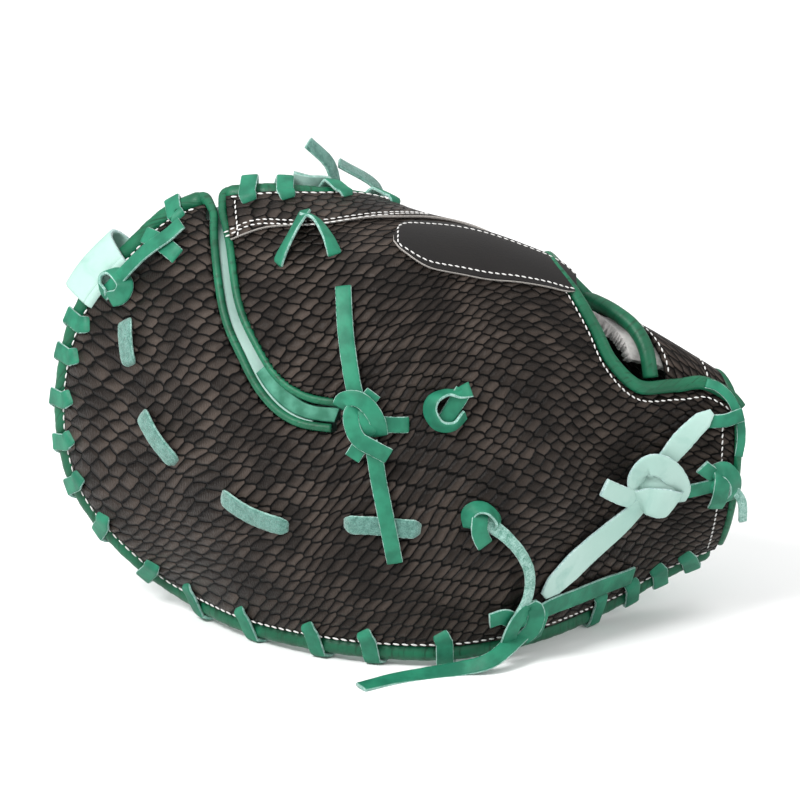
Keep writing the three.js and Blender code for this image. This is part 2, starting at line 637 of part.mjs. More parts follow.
FINGER_LACES.forEach((at, i) =>
  add(`finger_rim_lace_${i + 1}`, laceOnRim(at, LACE_SLANT, 0), greenLace));
THUMB_LACES.forEach((at, i) => {
  const lift = at < PANEL_END ? PANEL_LEATHER + CLEARANCE : 0;
  add(`thumb_rim_lace_${i + 1}`, laceOnRim(at, LACE_SLANT, lift), greenLace);
});
const TAB_LEATHER = 2;
add('web_tab', wrap(TAB_PLACE.from, TAB_PLACE.to, 4, TAB_REACH, TAB_LEATHER, 0, 0, TAB_BULGE), mintLeather);

// Laces sewn flat through the back

add('back_lace_1', laceOnBack([place(3.06, 0.795), place(3.09, 0.72), place(3.16, 0.655)], 4), suedeLace);
add('back_lace_2', laceOnBack([place(3.4, 0.54), place(3.7, 0.48), place(4.08, 0.425)], 4), suedeLace);
add('back_lace_3', laceOnBack([place(4.76, 0.375), place(5.25, 0.33), place(5.82, 0.295)], 4), suedeLace);
add('back_lace_4', laceOnBack([place(6.55, 0.3), place(6.7, 0.292), place(6.85, 0.288)], 3), suedeLace);

// Laces tied on the back

add('crotch_lace', join(
  laceOnBack([
    place(6.5, 0.712), place(6.56, 0.64), place(6.63, 0.57, 0.8), place(6.72, 0.5, 1.6), place(6.8, 0.45, 2),
  ], 10),
  knot(6.82, 0.437, 8.5, 0.5),
  laceOnBack([place(6.8, 0.44, 2), place(6.84, 0.38, 0.4), place(6.98, 0.29), place(7.16, 0.205)], 8),
  laceOnBack([place(6.85, 0.44, 2), place(7.08, 0.435, 1), place(7.3, 0.423)], 4),
), greenLace);
add('thumb_lace', laceOnBack([
  place(5.7, 0.835, 0.3), place(5.82, 0.88, 1.9), place(5.99, 0.925, 2), place(6.2, 0.875, 1.9),
  place(6.38, 0.8, 0.2),
], 8), greenLace);
add('crescent_lace', join(
  laceOnBack([place(2.85, 0.875, 1.6), place(3.3, 0.893), place(3.75, 0.915), place(4.08, 0.93)], 6),
  knot(2.92, 0.86, 6.5, 0, 5),
), greenLace);
add('stub_lace', laceOnBack([
  place(7.64, 0.41), place(7.7, 0.435, 4), place(7.88, 0.44, 8), place(8.0, 0.415, 7),
  place(7.95, 0.395, 3.4),
], 8), greenLace);
add('tail_lace', join(
  knot(8.22, 0.235, 6.5, 0, 5),
  laceOnBack([
    place(8.26, 0.232, 1), place(8.55, 0.22, 1), place(8.8, 0.175), place(8.86, 0.125), place(8.72, 0.088),
  ], 10),
), greenLace);

// The tied end of the rim lace, with one end along the rim and the other out on the floor
const FLOOR = 1.46;
const floorPath = new THREE.CatmullRomCurve3([
  onBack(8.7, 0.045, LACE_BED + 2),
  ...FLOOR_LACE.map((p) => new THREE.Vector3(p.along * LENGTH, p.out * DEPTH, p.lift + FLOOR)),
]);
const floorLine = floorPath.getPoints(11);
const floorSides = floorLine.map((_, i) => new THREE.Vector3(0.25, -1, 0.6 * Math.max(0, 1 - i / 5)));
add('bottom_lace', join(
  knot(8.76, 0.05, 9.5, 0, 8),
  strip(floorLine, floorSides, LACE_WIDTH),
  laceOnBack([place(8.85, 0.055, 2), place(9.25, 0.06, 1), place(9.8, 0.066), place(10.35, 0.068)], 8),
), greenLace);

const wideLace = (places, steps) => laceOnBack(places, steps, WIDE_LACE);
add('heel_knot_lace', join(
  wideLace([place(11.5, 0.44), place(11.3, 0.375), place(11.0, 0.31, 0.6), place(10.6, 0.26, 1.5)], 8),
  knot(10.56, 0.25, 11, 0, 9),
  wideLace([place(10.5, 0.245, 1.5), place(10.0, 0.195, 0.4), place(9.5, 0.152), place(9.02, 0.105)], 8),
  wideLace([place(10.45, 0.255, 1.5), place(10.1, 0.265, 0.8), place(9.85, 0.266, 0.4)], 4),
), mintLeather);

// Laces that wrap the heel's edge
const HEEL_WRAP_RADIUS = 5.7;
const HEEL_BED = 11.84;
const HEEL_UNDER = 11.6;
function laceOnHeel(across, from) {
  const perAcross = onBack(HEEL, across + STEP).distanceTo(onBack(HEEL, across - STEP)) / (2 * STEP);
  const rows = ARC_ANGLES.length + 2;
  return slab(rows, 1, (s, t, side) => {
    const share = across + ((t - 0.5) * LACE_WIDTH) / perAcross;
    const outward = onBack(HEEL, share).sub(onBack(HEEL - 0.1, share)).normalize();
    const normal = backNormal(HEEL, share);
    const i = Math.round(s * rows);
    const height = (side - 0.5) * LACE_THICKNESS;
    if (i < 2) return onBack([from, HEEL_BED][i], share, LACE_BED + height);
    if (i === rows) return onBack(HEEL_UNDER, share, 2 * ROLL_SINK - LACE_BED - CLEARANCE - height);
    const angle = ARC_ANGLES[i - 2];
    return onBack(HEEL + 0.01, share, ROLL_SINK)
      .addScaledVector(outward, Math.cos(angle) * (HEEL_WRAP_RADIUS + height))
      .addScaledVector(normal, Math.sin(angle) * (HEEL_WRAP_RADIUS + height));
  });
}
add('heel_lace_upper', laceOnHeel(0.43, 11.66), greenLace);
add('heel_lace_lower', join(
  laceOnHeel(0.25, 11.3),
  knot(11.74, 0.255, 7, 0, 6),
  laceOnBack([
    place(11.78, 0.25, 1.4), place(11.95, 0.215, 2), place(12.1, 0.175, 2.2), place(12.16, 0.14, 2.2),
  ], 6),
), greenLace);

// The end of the web's leather and the ends of the rim lace, which stand up behind the thumb
const behindRim = (at, depth, up) => {
  const { point, out, inward } = rimFrame(at);
  return point.addScaledVector(out, -depth).addScaledVector(inward, up);
};
const EAR = { from: 5.8, to: 6.38, over: 7.25, depth: 7, width: 13 };
add('web_ear', slab(5, 1, (s, t, side) => {
  const up = -EAR.over - BACK_LEATHER * side;
  return behindRim(mix(EAR.from, EAR.to, s), EAR.depth - EAR.width * t, up);
}), mintLeather);
const ofSize = ([x, y, z]) => new THREE.Vector3(x * LENGTH, y * DEPTH, z * HEIGHT);
TOP_LACES.forEach(({ at, bend, end }, i) => {
  const points = [behindRim(at, 10, -2), behindRim(at, 4, -9), ofSize(bend), ofSize(end)];
  const line = new THREE.CatmullRomCurve3(points).getPoints(6);
  const sides = line.map(() => new THREE.Vector3(...TOP_LACE_SIDE));
  add(`top_lace_${i + 1}`, strip(line, sides, LACE_WIDTH), greenLace);
});

// The origin is on the floor, in the middle of the box around all the pieces.
const box = new THREE.Box3().setFromObject(root);
const centre = box.getCenter(new THREE.Vector3());
for (const mesh of root.children) mesh.geometry.translate(-centre.x, -centre.y, -box.min.z);

export default root;
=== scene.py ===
import math
from contextlib import contextmanager

import bmesh
import bpy
import numpy as np
from mathutils import Matrix, kdtree


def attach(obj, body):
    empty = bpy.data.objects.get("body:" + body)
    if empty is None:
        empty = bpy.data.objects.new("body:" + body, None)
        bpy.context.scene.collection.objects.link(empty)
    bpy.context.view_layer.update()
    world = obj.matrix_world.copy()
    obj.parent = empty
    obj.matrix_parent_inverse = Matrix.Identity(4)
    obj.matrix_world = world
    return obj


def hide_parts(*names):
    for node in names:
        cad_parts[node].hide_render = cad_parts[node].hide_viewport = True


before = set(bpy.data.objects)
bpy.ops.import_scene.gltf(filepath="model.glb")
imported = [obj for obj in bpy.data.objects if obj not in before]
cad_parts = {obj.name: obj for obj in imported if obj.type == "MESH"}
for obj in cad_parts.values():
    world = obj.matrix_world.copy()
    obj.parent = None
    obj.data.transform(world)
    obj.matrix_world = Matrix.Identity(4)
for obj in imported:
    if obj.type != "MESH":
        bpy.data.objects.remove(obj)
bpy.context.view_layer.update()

# Back leather
# One sheet of black-brown cowhide pressed with snake scales. It is lasted over the hand, and the slot and the
# hand opening are cut through it. Lengths are millimetres in the model's own axes until a mesh is made.

LENGTH, HEIGHT, DEPTH = 310, 200, 100
HEEL_BOW = 15
ORIGIN = np.array((1.862, -49.268, -0.231))
COLUMNS = (
    "along", "low_y", "low_z", "low_bow_y", "low_bow_z",
    "high_bow_y", "high_bow_z", "high_y", "high_z", "palm")
SECTIONS = dict(zip(COLUMNS, np.array((
    (0, 0.97, 0.455, 0.97, 0.455, 0.97, 0.455, 0.97, 0.455, 0.9),
    (0.013, 0.95, 0.313, 0.86, 0.4, 0.87, 0.53, 0.96, 0.614, 0.9),
    (0.045, 0.91, 0.218, 0.66, 0.34, 0.68, 0.6, 0.94, 0.736, 0.88),
    (0.1, 0.845, 0.127, 0.5, 0.3, 0.42, 0.66, 0.91, 0.838, 0.85),
    (0.17, 0.79, 0.05, 0.27, 0.27, 0.12, 0.74, 0.85, 0.945, 0.82),
    (0.26, 0.43, 0.033, 0, 0.28, -0.14, 0.81, 0.76, 0.997, 0.79),
    (0.36, 0.17, 0.033, -0.2, 0.32, -0.3, 0.93, 0.74, 0.998, 0.75),
    (0.47, 0.03, 0.033, -0.33, 0.35, -0.22, 1.13, 0.92, 0.94, 0.68),
    (0.585, 0.03, 0.033, -0.36, 0.37, 0.2, 1.285, 1.14, 0.77, 0.6),
    (0.7, 0.28, 0.033, -0.24, 0.37, 0.3, 1.315, 1.26, 0.6, 0.52),
    (0.8, 0.66, 0.035, 0.02, 0.37, 0.34, 1.165, 1.28, 0.5, 0.44),
    (0.885, 0.82, 0.078, 0.24, 0.37, 0.36, 1.04, 1.25, 0.45, 0.36),
    (0.985, 0.9, 0.13, 0.34, 0.33, 0.36, 0.89, 1.18, 0.41, 0.3),
)).T))
MIRRORED = {"low_y": "high_y", "low_z": "high_z", "low_bow_y": "high_bow_y", "low_bow_z": "high_bow_z"}
MIRRORED.update({high: low for low, high in list(MIRRORED.items())})
HEEL = len(SECTIONS["along"]) - 1
BACK_TOP = 2.2
STEP = 0.02


def through(values, at):
    """A smooth curve through the values, with the ends carried straight on."""
    values = np.asarray(values, float)
    at = np.asarray(at, float)
    last = len(values) - 1
    around = np.concatenate(([2 * values[0] - values[1]], values, [2 * values[-1] - values[-2]]))
    i = np.clip(np.floor(at), 0, last - 1).astype(int)
    t = at - i
    a, b, c, d = (around[i + k] for k in range(4))
    smooth = b + 0.5 * t * (c - a + t * (2 * a - 5 * b + 4 * c - d + t * (3 * (b - c) + d - a)))
    return np.where(t > 1, c + (c - b) * (t - 1), np.where(t < 0, b + (c - b) * t, smooth))


def curved(points, count):
    """A number of points on a smooth curve through the given ones."""
    points = np.asarray(points, float)
    at = np.linspace(0, 1, count) * (len(points) - 1)
    return np.stack([through(values, at) for values in points.T], -1)


def column(name, station):
    beyond = SECTIONS[MIRRORED.get(name, name)][1]
    return through(np.concatenate(([beyond], SECTIONS[name])), np.asarray(station) + 1)


def section_point(station, across, keep):
    """A point of the hand's section at a station, with the share of its bow that is kept."""
    station, across = np.broadcast_arrays(np.asarray(station, float), np.asarray(across, float))
    heel_share = np.maximum(0, station / HEEL - 0.75) / 0.25
    bow = HEEL_BOW * heel_share**2 * (2 * across - 0.8) ** 2
    point = [LENGTH * (column("along", station) - 0.5) - bow]
    for axis, size in (("y", DEPTH), ("z", HEIGHT)):
        low, high = column("low_" + axis, station), column("high_" + axis, station)
        low_third, high_third = low + (high - low) / 3, high - (high - low) / 3
        low_bow = low_third + keep * (column("low_bow_" + axis, station) - low_third)
        high_bow = high_third + keep * (column("high_bow_" + axis, station) - high_third)
        s = 1 - across
        curve = s**3 * low + 3 * s**2 * across * low_bow + 3 * s * across**2 * high_bow + across**3 * high
        point.append(size * curve)
    return np.stack(point, -1)


def back_surface(station, across):
    return section_point(station, across, 1)


def palm_surface(station, across):
    return section_point(station, across, column("palm", station))


def unit(vectors):
    return vectors / (np.linalg.norm(vectors, axis=-1, keepdims=True) + 1e-12)


def normal_of(surface, station, across):
    """The unit normal that points out of the back."""
    s = np.maximum(station, 0.6)
    v = np.clip(across, 0.02, 0.98)
    along = surface(s + STEP, v) - surface(s - STEP, v)
    over = surface(s, v + STEP) - surface(s, v - STEP)
    return unit(np.cross(along, over))


def lifted(surface, station, across, lift=0.0):
    lift = np.asarray(lift, float)
    return surface(station, across) + normal_of(surface, station, across) * lift[..., None]


def rim_point(at):
    return back_surface(np.abs(at), np.where(np.asarray(at) < 0, 0.0, 1.0))


RIM_LINE = rim_point(np.linspace(-HEEL, HEEL, 481))


def inside_shares(surface, stations, clearance):
    """The shares across, low and high, at which each station is clear of the rim by a distance."""
    found = []
    for high in (False, True):
        near, far = np.zeros(len(stations)), np.full(len(stations), 0.5)
        for _ in range(14):
            share = (near + far) / 2
            point = surface(stations, 1 - share if high else share)
            gap = np.linalg.norm(RIM_LINE[None] - point[:, None], axis=-1).min(1)
            clear = gap > clearance
            near, far = np.where(clear, near, share), np.where(clear, share, far)
        found.append(1 - far if high else far)
    return found


def value_on(rows, i, share):
    """A value of a list of places at a share of its length."""
    return through([row[i] for row in rows], np.asarray(share) * (len(rows) - 1))


def shifted(rows, share, offset, surface=back_surface):
    """A place of a list moved sideways over the surface."""
    station, across = value_on(rows, 0, share), value_on(rows, 1, share)
    ahead = [value_on(rows, i, share + STEP) - value_on(rows, i, share - STEP) for i in (0, 1)]
    per_station = np.linalg.norm(surface(station + STEP, across) - surface(station - STEP, across), axis=-1)
    per_across = np.linalg.norm(surface(station, across + STEP) - surface(station, across - STEP), axis=-1)
    per_station, per_across = per_station / (2 * STEP), per_across / (2 * STEP)
    along, over = ahead[0] * per_station, ahead[1] * per_across
    length = np.hypot(along, over)
    return station - offset * over / length / per_station, across + offset * along / length / per_across


@contextmanager
def editing(mesh):
    """Opens a mesh to be changed, and writes the changes back."""
    bm = bmesh.new()
    bm.from_mesh(mesh)
    yield bm
    bm.to_mesh(mesh)
    bm.free()


def grid_mesh(name, columns, rows, place):
    """A grid whose vertices go to place(u, v), with its flat lengths along u and v in the UV map."""
    mesh = bpy.data.meshes.new(name)
    with editing(mesh) as bm:
        bmesh.ops.create_grid(bm, x_segments=columns, y_segments=rows, size=0.5)
    shares = np.empty(len(mesh.vertices) * 3)
    mesh.vertices.foreach_get("co", shares)
    shares = shares.reshape(-1, 3)[:, :2] + 0.5
    points = place(shares[:, 0], shares[:, 1])
    mesh.vertices.foreach_set("co", ((points + ORIGIN) / 1000).ravel())
    table = points.reshape(rows + 1, columns + 1, 3)
    ahead = np.linalg.norm(np.diff(table[rows // 2], axis=0), axis=-1)
    flat_u = np.concatenate(([0], np.cumsum(ahead)))[None].repeat(rows + 1, 0)
    over = np.linalg.norm(np.diff(table, axis=0), axis=-1)
    flat_v = np.concatenate((np.zeros((1, columns + 1)), np.cumsum(over, 0)))
    flat_v -= flat_v[rows // 2]
    flat = np.stack((flat_u, flat_v), -1).reshape(-1, 2) / 1000
    vertex = np.empty(len(mesh.loops), int)
    mesh.loops.foreach_get("vertex_index", vertex)
    layer = mesh.uv_layers.new(name="flat")
    layer.data.foreach_set("uv", flat[vertex].ravel())
    mesh.shade_smooth()
    return mesh, shares


def remove_places(mesh, unwanted):
    """Cuts the vertices that are marked, and their faces, out of a mesh."""
    with editing(mesh) as bm:
        bmesh.ops.delete(bm, geom=[v for v, cut in zip(bm.verts, unwanted) if cut], context="VERTS")


def piece(name, mesh, materials, slot, *nodes, wall=0.0, rim=0):
    """An object of the mitt. A sheet has a wall, whose cut edge has the material that is rim places on."""
    made = bpy.data.objects.new(name, mesh)
    bpy.context.collection.objects.link(made)
    for material in materials:
        mesh.materials.append(material)
    if wall:
        solid = made.modifiers.new("wall", "SOLIDIFY")
        solid.thickness = wall / 1000
        solid.offset = -1
        solid.material_offset_rim = rim
    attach(made, "root")
    if nodes:
        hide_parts(*nodes)
    return made


def sheet_piece(name, grid, place, materials, slot, *nodes, wall, rim=0):
    """A piece of sheet leather, from a grid of columns and rows."""
    return piece(name, grid_mesh(name, *grid, place)[0], materials, slot, *nodes, wall=wall, rim=rim)


class Shade:
    """A socket of a material's nodes, so that sums of them are written as plain maths."""

    def __init__(self, tree, output=None):
        self.tree = tree
        self.output = output

    def node(self, kind, settings=None, inputs=None, output=0):
        made = self.tree.nodes.new("ShaderNode" + kind)
        for name, value in (settings or {}).items():
            setattr(made, name, value)
        for name, value in (inputs or {}).items():
            if isinstance(value, Shade):
                self.tree.links.new(value.output, made.inputs[name])
            else:
                made.inputs[name].default_value = value
        return Shade(self.tree, made.outputs[output])

    def math(self, operation, *values):
        return self.node("Math", {"operation": operation}, dict(enumerate(values)))

    def __add__(self, other):
        return self.math("ADD", self, other)

    __radd__ = __add__

    def __sub__(self, other):
        return self.math("SUBTRACT", self, other)

    def __rsub__(self, other):
        return self.math("SUBTRACT", other, self)

    def __mul__(self, other):
        return self.math("MULTIPLY", self, other)

    __rmul__ = __mul__

    def smooth(self, low, high):
        """0 below low, 1 above high and a soft step between them."""
        return self.node("MapRange", {"interpolation_type": "SMOOTHSTEP"},
                         {"Value": self, "From Min": low, "From Max": high})

    def mix(self, low, high):
        """One colour where the mask is 0, another where it is 1."""
        low, high = (colour(value) if isinstance(value, str) else value for value in (low, high))
        return self.node("Mix", {"data_type": "RGBA"}, {"Factor": self, 6: low, 7: high}, 2)

    def vector(self, operation, *values, output=0):
        return self.node("VectorMath", {"operation": operation}, dict(enumerate((self, *values))), output)

    def scaled(self, *scale):
        return self.node("Mapping", {}, {"Vector": self, "Scale": scale})

    def noise(self, scale, detail, distortion=0.0, plane=False, output=0):
        return self.node(
            "TexNoise", {"noise_dimensions": "2D" if plane else "3D"},
            {"Vector": self, "Scale": scale, "Detail": detail, "Distortion": distortion}, output)

    def cells(self, scale):
        return self.node("TexVoronoi", {}, {"Vector": self, "Scale": scale})

    def bump(self, strength, distance):
        return self.node("Bump", {}, {"Height": self, "Strength": strength, "Distance": distance})


def new_material(name):
    """A material, and the places on its object to lay textures by."""
    material = bpy.data.materials.new(name)
    material.use_nodes = True
    return material, Shade(material.node_tree).node("TexCoord", output="Object")


def set_shader(material, **values):
    """Links or sets the shader's sockets by their names, with _ for a space."""
    for name, value in values.items():
        socket = material.node_tree.nodes["Principled BSDF"].inputs[name.replace("_", " ")]
        if isinstance(value, Shade):
            value.tree.links.new(value.output, socket)
        else:
            socket.default_value = value
    return material


def colour(hex_code):
    """A shader colour from the hex code that a painter would note down."""
    parts = [int(hex_code[i:i + 2], 16) / 255 for i in (0, 2, 4)]
    return tuple(p / 12.92 if p < 0.04045 else ((p + 0.055) / 1.055) ** 2.4 for p in parts) + (1,)


def snake_leather(name, long, wide, turn, squash=1.3, finer=0.0):
    """Leather pressed with scales of long by wide millimetres, turned in degrees and finer to the heel."""
    material, where = new_material(name)
    flat = where.node("UVMap", {"uv_map": "flat"})
    axes = [where.node("SeparateXYZ", {}, {"Vector": flat}, axis) for axis in ("X", "Y")]
    risen = axes[1] * (axes[1] + 0.92)
    fanned = {"X": axes[0] * (axes[0] * finer * 0.5 + 1), "Y": risen * (axes[0] * finer + 1)}
    fanned = where.node("CombineXYZ", {}, fanned)
    drift = flat.noise(13.0, 1.0, plane=True, output="Color")
    moved = drift.vector("MULTIPLY_ADD", (0.03, 0.022, 0), fanned)
    turned = where.node("Mapping", {}, {"Vector": moved, "Rotation": (0, 0, math.radians(turn))})
    even = turned.scaled(1000 / long, 1000 / wide, 1)
    cell = even.noise(1.1, 2.0, plane=True, output="Color").vector("MULTIPLY_ADD", (0.26, 0.26, 0), even)

    def from_centre(at):
        offset = at.vector("WRAP", (0.5, 0.5, 0.5), (-0.5, -0.5, -0.5))
        weighed = offset.vector("MULTIPLY", (1, squash, 0))
        return offset, weighed.vector("DOT_PRODUCT", weighed, output="Value")

    even_row, even_far = from_centre(cell)
    odd_row, odd_far = from_centre(cell.vector("ADD", (0.5, 0.5, 0)))
    in_even = where.math("LESS_THAN", even_far, odd_far)
    offset = where.node("Mix", {"data_type": "VECTOR"}, {"Factor": in_even, 4: odd_row, 5: even_row}, 1)
    tone = cell.vector("SUBTRACT", offset).noise(3.7, 0.0, plane=True)
    beside = where.math("ABSOLUTE", where.node("SeparateXYZ", {}, {"Vector": offset}, "X"))
    edge = where.math("MINIMUM", where.math("ABSOLUTE", even_far - odd_far), (0.5 - beside) * 2.2)
    rise = offset.vector("DOT_PRODUCT", (0.45, -0.9, 0), output="Value")
    dome = edge.smooth(0.0, 0.45)
    grain = flat.noise(900.0, 3.0)
    folds = flat.noise(35.0, 3.0)
    ribs = turned.scaled(1300, 260, 1).noise(1.0, 2.0, plane=True)
    height = edge.smooth(0.0, 0.1) * 0.45 + dome * 0.35 + rise * 0.75
    height = height + grain * 0.1 + folds * 0.6 + ribs * 0.16
    worn = (folds * 0.65 + tone * 0.35).smooth(0.36, 0.68)
    # Painted shade: each scale's colour runs to near black towards its base, where the next scale's tip would
    # shade it.
    top = rise.smooth(-0.5, 0.3).mix("090706", worn.mix("25201d", "4a413b"))
    # Painted shade: the grooves between the scales are coloured near black, for the shade in these recesses.
    return set_shader(
        material,
        Base_Color=edge.smooth(0.03, 0.19).mix("010101", top),
        Roughness=0.44 - dome * 0.12 + grain * 0.12,
        Normal=height.bump(1.0, 0.0023),
        Specular_IOR_Level=0.1,
    )


SLOT = (
    (4.64, 1.04, 3.4),
    (4.76, 0.905, 3.9),
    (4.92, 0.755, 4.2),
    (5.2, 0.657, 4.3),
    (5.5, 0.582, 4.8),
    (5.9, 0.525, 5.4),
    (6.5, 0.477, 5.2),
)
OPENING = (
    (12.1, 0.495),
    (11.9, 0.535),
    (11.54, 0.54),
    (11.1, 0.495),
    (10.5, 0.47),
    (10.0, 0.515),
    (9.73, 0.58),
    (9.45, 0.645),
    (9.14, 0.715),
    (9.08, 0.785),
    (9.3, 0.85),
    (9.95, 0.89),
    (10.9, 0.9),
    (12.1, 0.9),
)
TIP_STATION = 0.78
BACK_LEATHER = 2.4
TUCK = 4.9
PIPING_TUCK = 0.9
ROLL_TUCK = 1.6
DIP = 1.9
DIP_REACH = 2.6


def inside_place(surface, u, v, tip=TIP_STATION, end=HEEL - 0.05):
    """A place inside the rim, its leather tucked into the rim roll."""
    stations = tip + (end - tip) * np.linspace(0, 1, 120) ** 1.7
    low, high = inside_shares(surface, stations, TUCK)
    station = tip + (end - tip) * u
    low, high = (np.interp(station, stations, share) for share in (low, high))
    return station, low + (high - low) * v


def in_outline(station, across, outline):
    """Which places lie inside a closed outline of places."""
    inside = np.zeros(len(station), bool)
    for (s0, a0), (s1, a1) in zip(outline, np.roll(outline, -1, 0)):
        crosses = (a0 > across) != (a1 > across)
        at = s0 + (across - a0) / (a1 - a0 + 1e-12) * (s1 - s0)
        inside ^= crosses & (station < at)
    return inside


def slot_outline(tuck):
    share = np.linspace(0, 0.985, 60)
    half = value_on(SLOT, 2, share) + tuck
    thumb = np.stack(shifted(SLOT, share, half), -1)
    fingers = np.stack(shifted(SLOT, share, -half), -1)
    return np.concatenate((thumb, fingers[::-1]))


def opening_outline():
    share = np.linspace(0, 1, 120)
    edge = np.stack(shifted(OPENING, share, ROLL_TUCK), -1)
    return np.concatenate((edge, [(12.6, 0.9), (12.6, 0.49)]))


def open_places(station, across):
    in_slot = in_outline(station, across, slot_outline(PIPING_TUCK))
    return in_slot | in_outline(station, across, opening_outline())


def dip_beside(station, across):
    """How far the leather dips where it meets a roll."""
    share = np.linspace(0.08, 1, 160)
    half = value_on(SLOT, 2, share)
    edges = [RIM_LINE + unit(back_surface(6, 0.5) - RIM_LINE) * TUCK]
    edges += [back_surface(*shifted(SLOT, share, sign * half)) for sign in (1, -1)]
    edges.append(back_surface(*shifted(OPENING, share, ROLL_TUCK)))
    edges = np.concatenate(edges)
    tree = kdtree.KDTree(len(edges))
    for i, point in enumerate(edges):
        tree.insert(point, i)
    tree.balance()
    reach = np.array([tree.find(point)[2] for point in back_surface(station, across)])
    return DIP * np.exp(-(reach / DIP_REACH)**2)


back_places = {}


def back_place(u, v):
    station, across = back_places["at"] = inside_place(back_surface, u, v)
    return lifted(back_surface, station, across, BACK_TOP - dip_beside(station, across))


back_mesh, _ = grid_mesh("back_leather", 206, 206, back_place)
remove_places(back_mesh, open_places(*back_places["at"]))
snake = snake_leather("snake_leather", 15.0, 10.0, -10, finer=2.6)
piece("back_leather", back_mesh, [snake], "scale_leather", "back_shell", wall=BACK_LEATHER)

# Thumb panel
# A second piece of the scaled leather laid over the thumb, its lower edge left raw and sewn down with two
# rows of white thread. Its scales are rounder, because it is cut from another part of the hide.

PANEL_EDGE = (
    (4.9, 0.885),
    (5.3, 0.9),
    (5.75, 0.89),
    (6.32, 0.87),
    (6.95, 0.853),
    (7.5, 0.858),
    (8.4, 0.87),
)
PANEL_TOP = 3.8
PANEL_LEATHER = 1.3
PANEL_START, PANEL_END = 4.7, 8.4
SEAM_START, SEAM_SPAN = 4.9, 3.5


def panel_place(u, v):
    """A place on the panel, from the slot's side to its end and from its sewn edge to the rim."""
    stations = np.linspace(4.2, 9, 60)
    rim = inside_shares(back_surface, stations, TUCK + 0.6)[1]

    def from_seam(station):
        low = value_on(PANEL_EDGE, 1, (np.maximum(station, SEAM_START) - SEAM_START) / SEAM_SPAN)
        return low + (np.interp(station, stations, rim) - low) * v

    slot_share = np.linspace(0, 0.5, 60)
    side = shifted(SLOT, slot_share, value_on(SLOT, 2, slot_share) + 1.5)
    start = np.interp(-from_seam(PANEL_START + (PANEL_END - PANEL_START) * u), -side[1], side[0])
    station = start + (PANEL_END - start) * u
    return station, from_seam(station)


def raw_leather():
    """The pale cut edge of a hide."""
    material, where = new_material("raw_edge")
    fibre = where.noise(1400.0, 3.0)
    return set_shader(
        material, Base_Color=fibre.mix("6f6a66", "c9c4be"), Roughness=0.95, Normal=fibre.bump(0.8, 0.0003))


round_snake = snake_leather("round_snake_leather", 8.0, 9.0, -24, squash=1.5)
raw_edge = raw_leather()
sheet_piece(
    "thumb_overlay", (150, 24), lambda u, v: lifted(back_surface, *panel_place(u, v), PANEL_TOP),
    [round_snake, raw_edge], "scale_leather", "thumb_panel", wall=PANEL_LEATHER, rim=1)

# Finger patch
# A tongue of smooth black leather beside the hand opening, sewn down just inside its edge.

PATCH = (
    (7.12, 0.775, 0.79),
    (7.24, 0.74, 0.827),
    (7.6, 0.675, 0.818),
    (8.2, 0.632, 0.785),
    (8.7, 0.626, 0.757),
    (9.2, 0.63, 0.74),
    (9.42, 0.645, 0.71),
)
PATCH_TOP = 3.7
PATCH_LEATHER = 1.2


def smooth_leather():
    """Black leather with a fine grain."""
    material, where = new_material("smooth_black_leather")
    folds = where.noise(60.0, 4.0)
    return set_shader(
        material,
        Base_Color=folds.mix("0c0b0b", "1a1716"),
        Roughness=0.38 + folds * 0.15,
        Specular_IOR_Level=0.22,
        Normal=(where.cells(1300.0) * 0.25 + folds).bump(0.5, 0.0005),
    )


def patch_place(u, v):
    share = u**0.8
    low, high = value_on(PATCH, 1, share), value_on(PATCH, 2, share)
    return value_on(PATCH, 0, share), low + (high - low) * v


sheet_piece(
    "smooth_patch", (60, 20), lambda u, v: lifted(back_surface, *patch_place(u, v), PATCH_TOP),
    [smooth_leather(), raw_edge], "smooth_leather", "finger_patch", wall=PATCH_LEATHER, rim=1)

# Palm
# Pale mint leather that lines the pocket and the hand, with the web laid over its crotch.

PALM_TOP = -2.0
PALM_LEATHER = 3.0
PALM_TIP_STATION = 0.85
WEB_LEATHER = 2.4
WEB = (
    (4.75, 0.94, 29),
    (4.85, 0.84, 28),
    (5.1, 0.72, 24),
    (5.5, 0.61, 18),
    (5.95, 0.52, 12),
)


def mint_leather():
    """Pale mint leather with a fine grain and soft creases."""
    material, where = new_material("mint_leather")
    grain = where.cells(1200.0)
    creases = where.noise(90.0, 5.0, 0.6)
    tone = where.noise(24.0, 3.0).smooth(0.3, 0.75).mix("98b9af", "a8c3bb")
    return set_shader(
        material,
        Base_Color=creases.smooth(0.22, 0.5).mix("8cb0a6", tone),
        Roughness=0.55 + grain * 0.12,
        Specular_IOR_Level=0.25,
        Normal=(grain * 0.2 + creases).bump(0.45, 0.0006),
    )


def palm_place(u, v):
    return lifted(palm_surface, *inside_place(palm_surface, u, v, PALM_TIP_STATION, HEEL - 0.1), PALM_TOP)


mint = mint_leather()
sheet_piece("palm_leather", (150, 150), palm_place, [mint], "mint_leather", "palm_shell", wall=PALM_LEATHER)


def web_place(u, v):
    station, across = shifted(WEB, u, (2 * v - 1) * value_on(WEB, 2, u), palm_surface)
    return lifted(palm_surface, station, np.minimum(across, 0.93), PALM_TOP - PALM_LEATHER - 0.5)


sheet_piece("web_leather", (60, 50), web_place, [mint], "mint_leather", "web_panel", wall=WEB_LEATHER)

# Rolled bindings
# Dark green leather rolled round a cord.
# It binds the rim, the slot, the hand opening, the strap and the heel.


